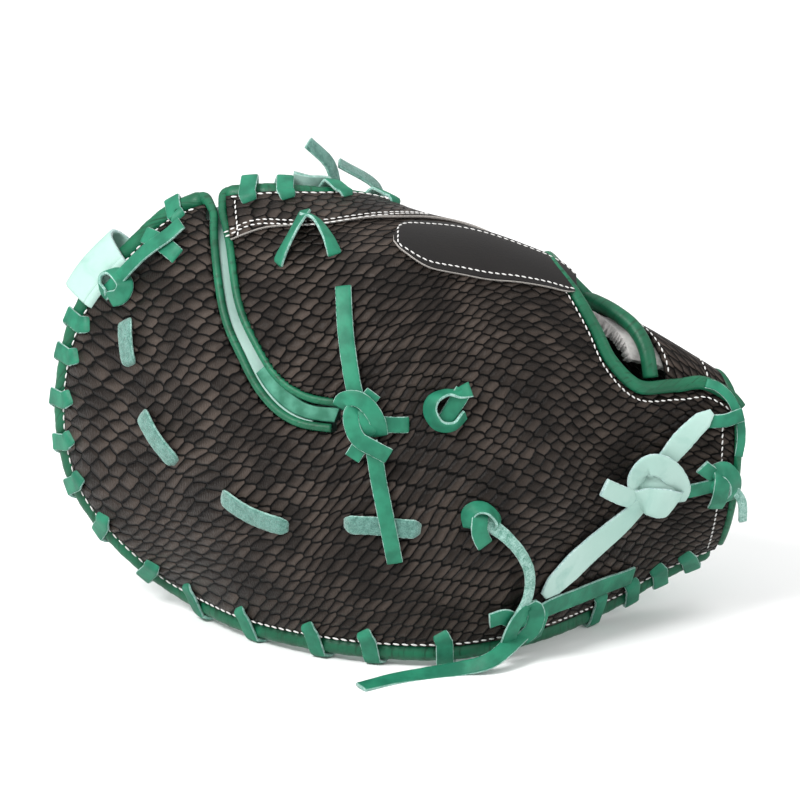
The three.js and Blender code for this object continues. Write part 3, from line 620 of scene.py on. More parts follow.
def green_leather():
    """Dark green rolled leather, gathered across its length."""
    material, where = new_material("green_binding")
    gathers = where.node("UVMap", {"uv_map": "flat"}).scaled(60, 420, 1).noise(1.0, 3.0, plane=True)
    grain = where.cells(1500.0)
    tone = where.noise(55.0, 3.0).smooth(0.3, 0.75).mix("0c4d34", "136446")
    return set_shader(
        material,
        Base_Color=gathers.smooth(0.25, 0.5).mix("094029", tone),
        Roughness=0.4 + grain * 0.15,
        Specular_IOR_Level=0.3,
        Normal=(grain * 0.15 + gathers).bump(0.4, 0.0005),
    )


green_roll = green_leather()
ROLL_SINK = -0.9
ROLL_STEP = 1.3
RIM_ROLL_RADIUS = 4.3
SLOT_LIP = 0.16


def close_mesh(mesh):
    """Closes the long seam and both ends of a rolled-up grid, and turns its faces out."""
    with editing(mesh) as bm:
        bmesh.ops.remove_doubles(bm, verts=bm.verts, dist=1e-6)
        bmesh.ops.holes_fill(bm, edges=bm.edges, sides=0)
        bmesh.ops.recalc_face_normals(bm, faces=bm.faces)
    return mesh


def resampled(points, spacing):
    """Points at even steps along a line."""
    points = np.asarray(points, float)
    reach = np.concatenate(([0], np.cumsum(np.linalg.norm(np.diff(points, axis=0), axis=-1))))
    count = max(int(reach[-1] / spacing), 4)
    at = np.linspace(0, reach[-1], count + 1)
    return np.stack([np.interp(at, reach, points[:, k]) for k in range(points.shape[1])], -1)


def evened(line, faces, spacing):
    """A line and its outward faces at even steps."""
    both = resampled(np.concatenate((line, faces), 1), spacing)
    return both[:, :3], both[:, 3:]


def frame_of(line, faces):
    """The tangent, the outward face and the side of a line at each of its points."""
    tangent = unit(np.gradient(line, axis=0))
    face = unit(faces - tangent * (faces * tangent).sum(-1, keepdims=True))
    return tangent, face, np.cross(tangent, face)


def tube_mesh(name, line, faces, radius, sides=20, swell=None):
    """A round roll along a line of points."""
    _, face, side = frame_of(line, faces)
    rings = len(line) - 1
    swell = np.ones(len(line)) if swell is None else swell

    def place(u, v):
        i = np.rint(v * rings).astype(int)
        turn = 2 * np.pi * u
        out = face[i] * np.cos(turn)[:, None] + side[i] * np.sin(turn)[:, None]
        return line[i] + out * (radius * swell[i])[:, None]

    return close_mesh(grid_mesh(name, sides, rings, place)[0])


def rim_frame(at):
    """The rim's point, tangent, outward normal and inward direction at a place along it."""
    at = np.asarray(at, float)
    point = rim_point(at)
    tangent = unit(rim_point(at + STEP) - rim_point(at - STEP))
    out = normal_of(back_surface, np.abs(at), np.where(at < 0, 0.0, 1.0))
    out = unit(out - tangent * (out * tangent).sum(-1, keepdims=True))
    inward = np.cross(out, tangent)
    middle = back_surface(np.maximum(np.abs(at), 2), 0.5)
    inward = inward * np.sign((inward * (middle - point)).sum(-1, keepdims=True))
    return point, tangent, out, inward


def rim_roll(name, start, end, node):
    at = np.linspace(start, end, 1200)
    point, _, out, _ = rim_frame(at)
    line, faces = evened(point + out * ROLL_SINK, out, ROLL_STEP)
    ring = np.arange(len(line))
    swell = 1 + 0.02 * np.sin(ring * 0.9) + 0.012 * np.sin(ring * 2.3)
    near_end = np.minimum(1, (np.minimum(ring, ring[::-1]) * ROLL_STEP + 0.4) / RIM_ROLL_RADIUS)
    swell = swell * np.sqrt(1 - (1 - near_end)**2)
    mesh = tube_mesh(name, line, faces, RIM_ROLL_RADIUS, 22, swell)
    piece(name, mesh, [green_roll], "green_binding", node)


rim_roll("finger_rim_binding", -HEEL + 0.06, SLOT[0][0] - SLOT_LIP, "rim_roll_fingers")
rim_roll("thumb_rim_binding", SLOT[0][0] + SLOT_LIP, HEEL - 0.06, "rim_roll_thumb")


def surface_roll(name, station, across, lift, radius, node, surface=back_surface):
    """A roll that follows places on a surface."""
    line, normal = lifted(surface, station, across, lift), normal_of(surface, station, across)
    mesh = tube_mesh(name, *evened(line, normal, ROLL_STEP), radius)
    piece(name, mesh, [green_roll], "green_binding", node)


SLOT_ROLL_RADIUS = 1.9
PIPING_LIFT = 0.9
PIPING_DROP = 1.3
MOUTH_CLOSING = 1.4
MOUTH_SWELL = 0.75
OPENING_ROLL_RADIUS = 3.1


def slot_binding(name, sign, node):
    """The roll along one side of the slot, which grows out of the rim's roll at the slot's mouth."""
    share = np.linspace(0.1, 0.975, 110)
    closed = MOUTH_CLOSING * np.exp(-((share - 0.1) / 0.06)**2)
    places = shifted(SLOT, share, sign * (value_on(SLOT, 2, share) - closed))
    fade = np.clip((share - 0.3) / 0.25, 0, 1) * max(sign, 0)
    line = lifted(back_surface, *places, PIPING_LIFT - PIPING_DROP * fade)
    line = np.concatenate((line, normal_of(back_surface, *places)), 1)
    mouth, _, out, _ = rim_frame(SLOT[0][0] + sign * SLOT_LIP * np.array((2.0, 1.0)))
    first = np.concatenate((mouth + out * (ROLL_SINK + 0.4), out), 1)
    bend = curved(np.concatenate((first, line[[0, 6]])), 24)
    line = resampled(np.concatenate((bend[:-1], line[6:])), 1.0)
    swell = 1 + MOUTH_SWELL * np.exp(-(np.arange(len(line)) / 9.0)**2)
    mesh = tube_mesh(name, line[:, :3], line[:, 3:], SLOT_ROLL_RADIUS, swell=swell)
    piece(name, mesh, [green_roll], "green_binding", node)


slot_binding("thumb_slot_binding", 1, "slot_piping_thumb")
slot_binding("finger_slot_binding", -1, "slot_piping_fingers")
share = np.linspace(0.02, 0.98, 240)
places = value_on(OPENING, 0, share), value_on(OPENING, 1, share)
surface_roll("opening_binding", *places, 1.0, OPENING_ROLL_RADIUS, "opening_roll")
share = np.linspace(0, 1, 80)
for name, station, low, span, lift, radius, node, surface in (
    ("heel_binding", HEEL + 0.01, 0.05, 0.405, 1.0, 1.9, "heel_piping", back_surface),
    ("strap_end_binding", HEEL + 0.01, 0.545, 0.325, -3.8, 1.9, "strap_piping", back_surface),
    ("palm_heel_binding", HEEL, 0.055, 0.89, -3.5, 2.3, "palm_heel_roll", palm_surface),
):
    surface_roll(name, station + 0 * share, low + span * share, lift, radius, node, surface)

# Slot lining
# Two folded strips show inside the slot, sewn behind its bindings: the pocket's mint leather on the finger
# side and green leather on the thumb side.


def slot_strip(name, side, offsets, lifts, material, slot, span=(0.03, 0.98), node=None, wall=1.0):
    """A strip inside the slot, from one offset and lift beside its middle to another."""
    def place(u, v):
        along = span[0] + (span[1] - span[0]) * u
        half = value_on(SLOT, 2, along)
        wave = 0.35 * np.sin(along * 23) * v
        offset = side * (half - offsets[0] - (offsets[1] - offsets[0]) * v + wave)
        lift = lifts[0] + (lifts[1] - lifts[0]) * v
        return lifted(back_surface, *shifted(SLOT, along, offset), lift)

    mesh = grid_mesh(name, 90, 8, place)[0]
    with editing(mesh) as bm:
        bmesh.ops.recalc_face_normals(bm, faces=bm.faces)
    piece(name, mesh, [material], slot, *([node] if node else []), wall=wall)


slot_strip("finger_slot_lining", -1, (1.4, 5.0), (-0.4, -5.5), mint, "mint_leather", (0.1, 0.9))
slot_strip("thumb_slot_lining", 1, (1.2, 3.0), (-0.4, -3.6), green_roll, "green_binding", (0.1, 0.62))

# Wrist strap
# The scaled leather again, tucked under the back on both sides, with a green roll on the edge that lies on
# the hand and a white fleece pad sewn under it.

STRAP_EDGE = (
    (11.05, 0.41),
    (11.02, 0.5),
    (10.95, 0.6),
    (10.75, 0.69),
    (10.4, 0.76),
    (10.0, 0.84),
    (9.8, 0.94),
)
STRAP_TOP = -2.6
STRAP_LEATHER = 2.4
STRAP_ROLL_RADIUS = 3.5
FLEECE_THICKNESS = 5.5
FLEECE_DROP = 2.6
TUFT_HEIGHT = 0.1


def strap_edge(across):
    share = np.linspace(0, 1, 200)
    return np.interp(across, value_on(STRAP_EDGE, 1, share), value_on(STRAP_EDGE, 0, share))


def strap_place(u, v):
    across = 0.41 + 0.53 * v
    start = strap_edge(across)
    return lifted(back_surface, start + (HEEL - 0.02 - start) * u, across, STRAP_TOP)


small_snake = snake_leather("small_snake_leather", 7.4, 6.2, 40)
sheet_piece(
    "strap_leather", (40, 110), strap_place, [small_snake], "scale_leather", "wrist_strap",
    wall=STRAP_LEATHER)
strap_across = np.linspace(0.5, 0.84, 140)
edge = strap_edge(strap_across) - 0.26
surface_roll("strap_binding", edge, strap_across, -3.6, STRAP_ROLL_RADIUS, "strap_roll")


def fleece_material():
    """White sheared wool, matted in places."""
    material, where = new_material("white_fleece")
    matted = where.noise(80.0, 3.0)
    return set_shader(
        material,
        Base_Color=matted.smooth(0.3, 0.7).mix("8f8c8a", "d9d6d3"),
        Roughness=1.0,
        Sheen_Weight=0.5,
        Normal=(where.noise(420.0, 6.0) * 0.6 + matted).bump(0.8, 0.0009),
    )


def fleece_place(u, v):
    across = 0.55 + 0.31 * v
    start = strap_edge(across) - 0.5
    station = start + (HEEL - 0.13 - start) * u
    ease = np.clip(u / 0.4, 0, 1)
    drop = FLEECE_DROP * (1 - ease * ease * (3 - 2 * ease))
    tufts = TUFT_HEIGHT * np.sin(u * 61 + 3 * np.sin(v * 19)) * np.sin(v * 83 + 2 * np.sin(u * 23))
    return lifted(back_surface, station, across, STRAP_TOP - STRAP_LEATHER - 0.8 - drop + tufts)


fleece = sheet_piece(
    "fleece_pad", (60, 110), fleece_place, [fleece_material()], "fleece", "strap_fleece",
    wall=FLEECE_THICKNESS)

# Laces
# Flat strips cut from green rawhide, satin on the grain side and fuzzy and pale on the flesh side and the cut
# edges. One long lace wraps the whole rim through punched holes.

LACE_WIDTH = 7.8
LACE_THICKNESS = 1.9
LACE_BED = 3.5
LACE_STEP = 1.1
EDGE_ROUGHNESS = 0.14


def lace_grain(name, dark, light):
    """The satin outer side of a lace."""
    material, where = new_material(name)
    pores = where.noise(900.0, 3.0)
    bends = where.noise(120.0, 3.0)
    return set_shader(
        material,
        Base_Color=bends.smooth(0.3, 0.7).mix(dark, light),
        Roughness=0.45 + pores * 0.2,
        Specular_IOR_Level=0.3,
        Normal=(pores * 0.3 + bends).bump(0.4, 0.0005),
    )


def lace_flesh(name, dark, light):
    """The suede inner side and the cut edges of a lace."""
    material, where = new_material(name)
    fibres = where.noise(1500.0, 5.0, 1.0)
    patches = where.noise(350.0, 3.0)
    return set_shader(
        material,
        Base_Color=(fibres * 0.6 + patches * 0.4).smooth(0.36, 0.64).mix(dark, light),
        Roughness=0.95,
        Sheen_Weight=0.35,
        Normal=(fibres + patches).bump(1.0, 0.0006),
    )


green_grain = lace_grain("green_lace_grain", "145f48", "22775b")
green_flesh = lace_flesh("green_lace_flesh", "4a8675", "9cc4ba")
suede = lace_flesh("suede_lace_back", "36655a", "5f8d82")
mint_flesh = lace_flesh("mint_lace_flesh", "86aeaa", "c3d8d5")


def strip_mesh(name, line, faces, width, thickness=LACE_THICKNESS, sides=24, seed=1, taper=None):
    """A flat strip along a line, its grain side out and its cut edges slightly rough."""
    _, face, side = frame_of(line, faces)
    rings = len(line) - 1
    rough = np.random.default_rng(seed).uniform(-EDGE_ROUGHNESS, EDGE_ROUGHNESS, (len(line), sides + 1))
    rough[:, -1] = rough[:, 0]
    taper = np.ones(len(line)) if taper is None else taper

    def place(u, v):
        i = np.rint(v * rings).astype(int)
        turn = 2 * np.pi * u
        reach = np.sign(np.cos(turn)) * np.abs(np.cos(turn)) ** 0.35
        height = np.sign(np.sin(turn)) * np.abs(np.sin(turn)) ** 0.7
        on_edge = np.abs(np.cos(turn)) ** 4
        rise = np.sign(reach) * rough[i, np.rint(u * sides).astype(int)] * on_edge
        across = reach * width / 2 * taper[i] + rise
        return line[i] + side[i] * across[:, None] + face[i] * (height * thickness / 2)[:, None]

    mesh, shares = grid_mesh(name, sides, rings, place)
    corner = np.empty(len(mesh.loops), int)
    mesh.loops.foreach_get("vertex_index", corner)
    middle = shares[corner, 0].reshape(-1, 4).mean(1)
    grain = (middle > 0.09) & (middle < 0.41)
    mesh.polygons.foreach_set("material_index", np.where(grain, 0, 1).astype(int))
    return close_mesh(mesh)


def joined(name, meshes):
    """One mesh from several."""
    whole = bpy.data.meshes.new(name)
    with editing(whole) as bm:
        for mesh in meshes:
            bm.from_mesh(mesh)
    return whole


def lace_line(places):
    """The line and the faces of a lace through places: station, across, lift and perhaps a twist."""
    count = 12 * (len(places) - 1)
    share = np.linspace(0, 1, count + 1)
    station, across, lift = (value_on(places, i, share) for i in range(3))
    twist = np.radians(value_on([(*p, 0)[:4] if len(p) < 4 else p for p in places], 3, share))
    line = lifted(back_surface, station, across, LACE_BED + lift)
    normal = normal_of(back_surface, station, across)
    _, face, side = frame_of(line, normal)
    face = face * np.cos(twist)[:, None] + side * np.sin(twist)[:, None]
    return evened(line, face, LACE_STEP)


def lace_on_back(name, places, width=LACE_WIDTH, taper=None, seed=1):
    line, faces = lace_line(places)
    if taper is not None:
        taper = np.interp(np.linspace(0, 1, len(line)), *zip(*taper))
    return strip_mesh(name, line, faces, width, seed=seed, taper=taper)


class Sheet:
    """A fine table of a surface's points, to find the place nearest to a point."""

    def __init__(self, surface):
        self.surface = surface
        self.station, self.across = np.meshgrid(
            np.arange(0, HEEL + 0.01, 0.04), np.arange(0, 1.001, 0.005), indexing="ij")
        self.points = surface(self.station, self.across)

    def nearest(self, target):
        k = np.argmin(((self.points - target) ** 2).sum(-1))
        station, across = self.station.flat[k], self.across.flat[k]
        for size in (0.03, 0.004):
            around = np.linspace(-size, size, 11)
            near, over = np.meshgrid(around, around / 8, indexing="ij")
            points = self.surface(np.maximum(station + near, 0), across + over)
            k = np.argmin(((points - target) ** 2).sum(-1))
            station, across = max(station + near.flat[k], 0), across + over.flat[k]
        return station, across


back_sheet = Sheet(back_surface)
palm_sheet = Sheet(palm_surface)
FINGER_LACES = (
    -11.62, -11.05, -10.45, -9.75, -7.82, -6.93, -6.23, -5.3, -4.48, -3.49, -2.48, -1.46, -0.62,
    0.07, 0.73, 1.31, 3.96)
THUMB_LACES = (5.16, 5.65, 6.31, 6.9, 7.6, 8.35, 9.1, 9.9, 10.9)
LACE_REACH = 12.5
SHORT_REACH = 8.5
THUMB_REACH = 10.0
PALM_REACH = 9.5
LACE_SLANT = -9.0
TIP_TURN = 1.7
THUMB_SLANT = -6.0
PANEL_LIFT = 2.0
LAST_ON_PANEL = 8.5
WRAP_RADIUS = 4.5


def wrap_line(at, slant, lift, reach=LACE_REACH, thickness=LACE_THICKNESS, bulge=0.0):
    """The line of a strip that comes out of the back, goes over the rim roll and into the palm."""
    per_millimetre = 2 * STEP / np.linalg.norm(rim_point(at + STEP) - rim_point(at - STEP))
    back_lift = BACK_TOP + 0.4 + thickness / 2 + lift
    palm_lift = PALM_TOP - PALM_LEATHER - 1.0 - thickness / 2
    stops = [
        ("back", reach + 0.9, back_lift - 2.6), ("back", reach - 0.3, back_lift - 0.5),
        ("back", reach - 2.2, back_lift), ("back", (reach + 4) / 2, back_lift),
        *(("arc", angle, 0) for angle in (66, 44, 22, 0, -22, -44, -66)),
        ("palm", (PALM_REACH + 4) / 2, palm_lift), ("palm", PALM_REACH - 1, palm_lift),
        ("palm", PALM_REACH, palm_lift + 2),
    ]
    line, faces = [], []
    for i, (kind, value, height) in enumerate(stops):
        place = at + slant * per_millimetre * (i / (len(stops) - 1) - 0.5)
        point, _, out, inward = rim_frame(place)
        if kind == "arc":
            angle = math.radians(value)
            face = -inward * math.cos(angle) + out * math.sin(angle)
            radius = WRAP_RADIUS + thickness / 2 + lift * max(math.sin(angle), 0) + bulge * math.cos(angle)
            line.append(point + out * ROLL_SINK + face * radius)
        else:
            sheet = back_sheet if kind == "back" else palm_sheet
            station, across = sheet.nearest(point + inward * value)
            normal = normal_of(sheet.surface, station, across)
            line.append(sheet.surface(station, across) + normal * height)
            face = normal if kind == "back" else -normal
        faces.append(face)
    both = curved(np.concatenate((line, faces), 1), 90)
    return evened(both[:, :3], both[:, 3:], 1.0)


for group, places in (("finger", FINGER_LACES), ("thumb", THUMB_LACES)):
    for i, at in enumerate(places):
        lift, slant, reach = 0.0, LACE_SLANT, LACE_REACH
        if group == "thumb":
            lift, slant, reach = PANEL_LIFT if at < LAST_ON_PANEL else 0.0, THUMB_SLANT, THUMB_REACH
        elif -3 < at < 2:
            slant *= TIP_TURN
        elif at > 3:
            reach = SHORT_REACH
        line, faces = wrap_line(at, slant, lift, reach)
        near_hole = np.minimum(1, (np.arange(len(line)) + 0.6) / 4.6)
        taper = 0.55 + 0.45 * np.sqrt(1 - (1 - near_hole)**2)
        name, node = f"{group}_rim_loop_{i + 1}", f"{group}_rim_lace_{i + 1}"
        mesh = strip_mesh(name, line, faces, LACE_WIDTH, seed=i, taper=taper)
        piece(name, mesh, [green_grain, green_flesh], "green_lace", node)

# Slot lace
# A flat green lace drawn across the foot of the slot, between its two bindings.

slot_grain = lace_grain("slot_lace_grain", "24624c", "4b8b75")
slot_strip(
    "slot_floor_lace", -1, (2.3, 8.3), (-0.2, -0.8), slot_grain, "green_lace", (0.58, 0.975),
    "slot_lace", 1.6)

# Rim tab
# A folded tab of mint leather over the tip's rim, held by the rim lace. Its cut edge lies on the back.

TAB_START, TAB_END = 1.85, 2.95
TAB_ROWS, TAB_LINES = 60, 9
TAB_LEATHER = 1.9
tab_lines = []
for at in np.linspace(TAB_START, TAB_END, TAB_LINES):
    line, _ = wrap_line(at, 0, -0.2, reach=7.0, thickness=2.0, bulge=7.5)
    share, along = np.linspace(0, 1, TAB_ROWS + 1), np.linspace(0, 1, len(line))
    tab_lines.append(np.stack([np.interp(share, along, values) for values in line.T], -1))
tab_lines = np.array(tab_lines)


def tab_place(u, v):
    i, j = np.rint(v * TAB_ROWS).astype(int), u * (TAB_LINES - 1)
    low = np.clip(np.floor(j), 0, TAB_LINES - 2).astype(int)
    mix = (j - low)[:, None]
    return tab_lines[low, i] * (1 - mix) + tab_lines[low + 1, i] * mix


sheet_piece(
    "folded_tab", (32, TAB_ROWS), tab_place, [mint, mint_flesh], "mint_leather", "web_tab",
    wall=-TAB_LEATHER, rim=1)

# Web ear and top laces
# The end of the web's mint leather and two loose ends of the rim lace stand up behind the thumb's rim.


def behind_rim(at, depth, up):
    point, _, out, inward = rim_frame(at)
    return point - out * depth + inward * up


EAR_START, EAR_SPAN = 5.8, 0.58
EAR_HEIGHT = 13
EAR_LEATHER = 2.2


def ear_place(u, v):
    at = EAR_START + EAR_SPAN * u
    point, _, out, inward = rim_frame(at)
    height = 5.7 + 0.9 * np.sin(2 * np.pi * u + 2)
    return point - out * (7 - EAR_HEIGHT * v)[:, None] - inward * height[:, None]


sheet_piece(
    "web_ear_leather", (30, 30), ear_place, [mint, green_flesh], "mint_leather", "web_ear",
    wall=EAR_LEATHER, rim=1)
TOP_LACE_WIDTH = 6.4
TOP_LACES = (
    (6.58, (-33, 93, 207), (-43, 92, 218), (0.5, 0.75, 0.45)),
    (7.2, (-12, 104, 193.5), (-29, 100, 206), (0.2, 1, 0.25)),
)
for i, (at, bend, end, side) in enumerate(TOP_LACES):
    points = np.array((behind_rim(at, 10, -2), behind_rim(at, 4, -9), bend, end))
    line = resampled(curved(points, 60), LACE_STEP)
    faces = np.cross(unit(np.array(side)), np.gradient(line, axis=0))
    mesh = strip_mesh(f"top_lace_end_{i + 1}", line, faces, TOP_LACE_WIDTH, seed=60 + i)
    piece(f"top_lace_end_{i + 1}", mesh, [suede, green_flesh], "green_lace", f"top_lace_{i + 1}")

# Laces sewn flat through the back
# They show their flesh side, and both ends go down into punched holes.

BACK_LACES = (
    ((3.05, 0.79, -2), (3.06, 0.777, 0), (3.09, 0.72, 0.2), (3.14, 0.679, 0), (3.16, 0.667, -2)),
    ((3.41, 0.539, -2), (3.47, 0.527, 0), (3.7, 0.48, 0.2), (3.99, 0.438, 0), (4.06, 0.427, -2)),
    ((4.82, 0.37, -2), (4.91, 0.361, 0), (5.25, 0.33, 0.2), (5.67, 0.303, 0), (5.77, 0.297, -2)),
    ((6.53, 0.288, -2), (6.63, 0.284, 0), (7.0, 0.271, 0.1), (7.36, 0.256, 0), (7.46, 0.252, -2)),
)
SEWN_WIDTH = 8.8
SEWN_TAPER = ((0, 0.6), (0.1, 1), (0.9, 1), (1, 0.6))
for i, places in enumerate(BACK_LACES):
    mesh = lace_on_back(f"sewn_lace_{i + 1}", places, SEWN_WIDTH, SEWN_TAPER, 40 + i)
    piece(f"sewn_lace_{i + 1}", mesh, [suede, green_flesh], "suede_lace", f"back_lace_{i + 1}")


def tied(
    name, node, strips, materials=None, slot="green_lace", width=LACE_WIDTH,
    tapers=(), rough=(), lumps=(), more=(),
):
    """A knot or a free end made of strips of one lace, those in rough with their flesh side out."""
    meshes = []
    for i, places in enumerate(strips):
        meshes.append(lace_on_back(f"{name}_{i}", places, width, dict(tapers).get(i), i))
    for i in rough:
        meshes[i].polygons.foreach_set("material_index", [1] * len(meshes[i].polygons))
    meshes += [lump_mesh(f"{name}_lump_{i}", *lump) for i, lump in enumerate(lumps)] + list(more)
    return piece(name, joined(name, meshes), materials or [green_grain, green_flesh], slot, node)


def floor_strip(name, places, width=LACE_WIDTH):
    """A lace end from the back to the floor, through places in millimetres from the floor up."""
    points = np.array(places, float)
    points[1:, 2] -= ORIGIN[2]
    line = resampled(curved(points, 90), LACE_STEP)
    lean = np.linspace(0.75, 0, len(line))[:, None]
    faces = np.array((0.1, -1, 0.35)) * lean + np.array((0, -0.2, 1)) * (1 - lean)
    return strip_mesh(name, line, faces, width, seed=77)


def add_ball(bm, point, halves, around, along):
    """Adds a stretched ball to a mesh: its middle, its three half sizes and its faces round and along."""
    matrix = np.eye(4)
    matrix[:3, :3] = np.stack(halves, -1) / 1000
    matrix[:3, 3] = (point + ORIGIN) / 1000
    bmesh.ops.create_uvsphere(bm, u_segments=around, v_segments=along, radius=1, matrix=Matrix(matrix))


def lump_mesh(name, station, across, lift, size):
    """A round lump of leather inside a knot: its half sizes along, across and out of the back."""
    at = [np.array([value]) for value in (station, across, LACE_BED + lift)]
    point, out = lifted(back_surface, *at)[0], normal_of(back_surface, *at[:2])[0]
    along = unit(back_surface(station + STEP, across) - back_surface(station - STEP, across))
    along = unit(along - out * (along @ out))
    mesh = bpy.data.meshes.new(name)
    with editing(mesh) as bm:
        halves = [axis * half for axis, half in zip((along, np.cross(out, along), out), size)]
        add_ball(bm, point, halves, 32, 20)
    mesh.shade_smooth()
    return mesh


# Laces tied on the back
# Each is knotted where it comes out of the leather, and its ends are cut square.

NARROW_WIDTH = 7.2
BENT_WIDTH = 6.4
THIN_WIDTH = 6.2
MINT_WIDTH = 10.5

tied("crotch_tie", "crotch_lace", (
    ((6.51, 0.715, 0.2), (6.53, 0.646, 0.2), (6.57, 0.587, 0.8), (6.63, 0.53, 2), (6.69, 0.49, 3)),
    ((6.84, 0.417, 2.5), (6.89, 0.397, 1.4), (6.96, 0.341, 0.8), (7.06, 0.276, 2.2), (7.16, 0.205, 0.4)),
    ((6.47, 0.498, 0), (6.53, 0.507, 3), (6.69, 0.499, 5.5), (6.83, 0.476, 6), (6.93, 0.446, 4),
     (6.96, 0.423, 0.5)),
    ((6.74, 0.485, 2), (6.63, 0.481, 4), (6.63, 0.46, 5), (6.71, 0.433, 6), (6.88, 0.41, 6.5),
     (7.05, 0.388, 4)),
    ((6.76, 0.48, 1), (6.82, 0.489, 2.4), (6.88, 0.497, 3)),
    ((6.76, 0.427, 1), (6.7, 0.414, 1.6), (6.63, 0.402, 2)),
    ((6.85, 0.445, 1), (6.95, 0.441, 1), (7.2, 0.427, 0.3), (7.3, 0.422, -1.5)),
), width=NARROW_WIDTH, lumps=((6.76, 0.455, 1.6, (7, 7.5, 3.6)),))
tied("thumb_tie", "thumb_lace", (
    ((5.63, 0.82, -2, -10), (5.67, 0.828, 0, -20), (5.85, 0.871, 2.4, -38), (5.99, 0.912, 3.0, -30)),
    ((5.97, 0.908, 3.0, -30), (6.15, 0.885, 2.8, -48), (6.3, 0.841, 2.0, -40), (6.37, 0.81, 0.4, -20),
     (6.39, 0.8, -2)),
), width=BENT_WIDTH)
tied("crescent_tie", "crescent_lace", (
    ((4.22, 0.939, 2), (3.97, 0.921, 2.6), (3.55, 0.914, 3), (3.16, 0.905, 3), (2.83, 0.9, 2),
     (2.6, 0.902, 0.5)),
    ((2.64, 0.889, 1, -50), (2.51, 0.927, 1.5, -50), (2.58, 0.954, 2, -55), (2.82, 0.943, 2.4, -55),
     (3.03, 0.907, 2.4, -50), (3.14, 0.872, 2, -50), (3.0, 0.856, 1.5, -45), (2.72, 0.871, 0.5, -40)),
    ((3.51, 0.97, 0.5), (3.79, 0.927, 0.4), (4.01, 0.892, 0), (4.08, 0.879, -2)),
))
tied("curled_stub", "stub_lace", (
    ((8.0, 0.407, 0, -50), (7.85, 0.395, 0.6, -55), (7.66, 0.404, 1, -58), (7.55, 0.429, 1.4, -60),
     (7.58, 0.447, 2, -66), (7.73, 0.45, 2.6, -74), (7.88, 0.443, 3.4, -60), (8.03, 0.444, 5, -30)),
    ((7.72, 0.405, 0.4), (7.84, 0.425, 1.6), (7.95, 0.445, 3.2)),
))
tied("loop_tie", "tail_lace", (
    ((8.05, 0.241, 0, -50), (8.03, 0.26, 1, -55), (8.09, 0.27, 2.4, -60), (8.19, 0.27, 3, -60),
     (8.29, 0.262, 2.6, -60), (8.38, 0.246, 1.6, -55), (8.37, 0.232, 0, -50)),
    ((8.16, 0.262, 2.6), (8.14, 0.252, 4.6), (8.13, 0.24, 4.8), (8.16, 0.226, 4.2), (8.21, 0.214, 3)),
    ((8.24, 0.25, 0.8), (8.34, 0.236, 2.4), (8.46, 0.221, 3.5), (8.62, 0.193, 4), (8.72, 0.158, 4),
     (8.7, 0.118, 4), (8.58, 0.084, 4)),
), tapers=((2, ((0, 0.9), (0.3, 0.68), (1, 0.66))),), rough=(2,))
start = lifted(back_surface, *(np.array([value]) for value in (8.7, 0.045, LACE_BED + 2)))[0]
floor_end = floor_strip("floor_end", (
    start, (40, -9, 6.5), (26, -10, 2.4), (11, -14, 1.3), (-4, -21, 1.2), (-19, -32, 1.2)))
tied("bottom_tie", "bottom_lace", (
    ((8.64, 0.058, 2.4), (8.98, 0.081, 2.2), (9.38, 0.083, 1.4), (9.82, 0.082, 0.8), (10.35, 0.076, 0.4)),
    ((8.93, 0.089, 1), (8.87, 0.075, 4), (8.81, 0.053, 4.6), (8.81, 0.02, 2)),
    ((8.76, 0.093, 2.4), (8.61, 0.089, 5), (8.49, 0.064, 5.6), (8.43, 0.02, 4)),
    ((8.74, 0.095, 2, 20), (8.75, 0.1, 5, 30), (8.77, 0.084, 6, 30), (8.72, 0.058, 6, 30),
     (8.62, 0.036, 4.5, 20)),
    ((8.62, 0.061, 1.6), (8.44, 0.084, 2.4), (8.27, 0.081, 2.2)),
), lumps=((8.72, 0.07, 1.5, (6, 5, 3.4)),), tapers=((0, ((0, 1.15), (1, 1.35))),), more=(floor_end,))
tied("mint_tie", "heel_knot_lace", (
    ((10.42, 0.245, 4), (10.14, 0.217, 3), (9.83, 0.19, 2), (9.51, 0.163, 1.4), (9.19, 0.132, 1),
     (8.95, 0.103, 0.6)),
    ((10.61, 0.294, 4), (10.89, 0.326, 3.4), (11.15, 0.367, 2.6), (11.4, 0.415, 2), (11.62, 0.463, 1.6)),
    ((10.45, 0.244, 3), (10.15, 0.258, 3.4), (9.91, 0.271, 4), (9.72, 0.282, 4.6)),
    ((10.47, 0.262, 1), (10.29, 0.292, 4), (10.39, 0.319, 7), (10.67, 0.32, 8), (10.94, 0.3, 7),
     (11.12, 0.263, 4), (11.09, 0.227, 1)),
    ((10.3, 0.248, 2.5), (10.42, 0.252, 6.8), (10.66, 0.248, 9.2), (10.92, 0.24, 8), (11.1, 0.232, 2.5)),
), [mint, mint_flesh], "mint_leather", width=MINT_WIDTH, lumps=((10.69, 0.255, 2.6, (11, 11, 5.2)),), tapers=(
    (0, ((0, 0.85), (0.3, 1.35), (0.7, 1.6), (0.9, 1.25), (1, 0.45))),
    (1, ((0, 0.85), (0.5, 1.05), (0.85, 0.85), (1, 0.3))),
    (2, ((0, 0.9), (1, 0.8))),
    (4, ((0, 1.15), (0.5, 1.45), (1, 1.15))),
))
tied("upper_heel_tie", "heel_lace_upper", (
    ((11.5, 0.428, -2), (11.57, 0.432, 0.2), (11.79, 0.452, 2.0), (11.93, 0.472, 2.4), (12.06, 0.49, 1.4)),
    ((11.55, 0.539, 0), (11.69, 0.542, 1.6), (11.85, 0.53, 1.4), (11.96, 0.502, 0.8), (12.03, 0.459, 0.6),
     (12.04, 0.411, 0.6), (12.01, 0.361, 0.4)),
), width=THIN_WIDTH, tapers=((1, ((0, 0.7), (1, 0.6))),))
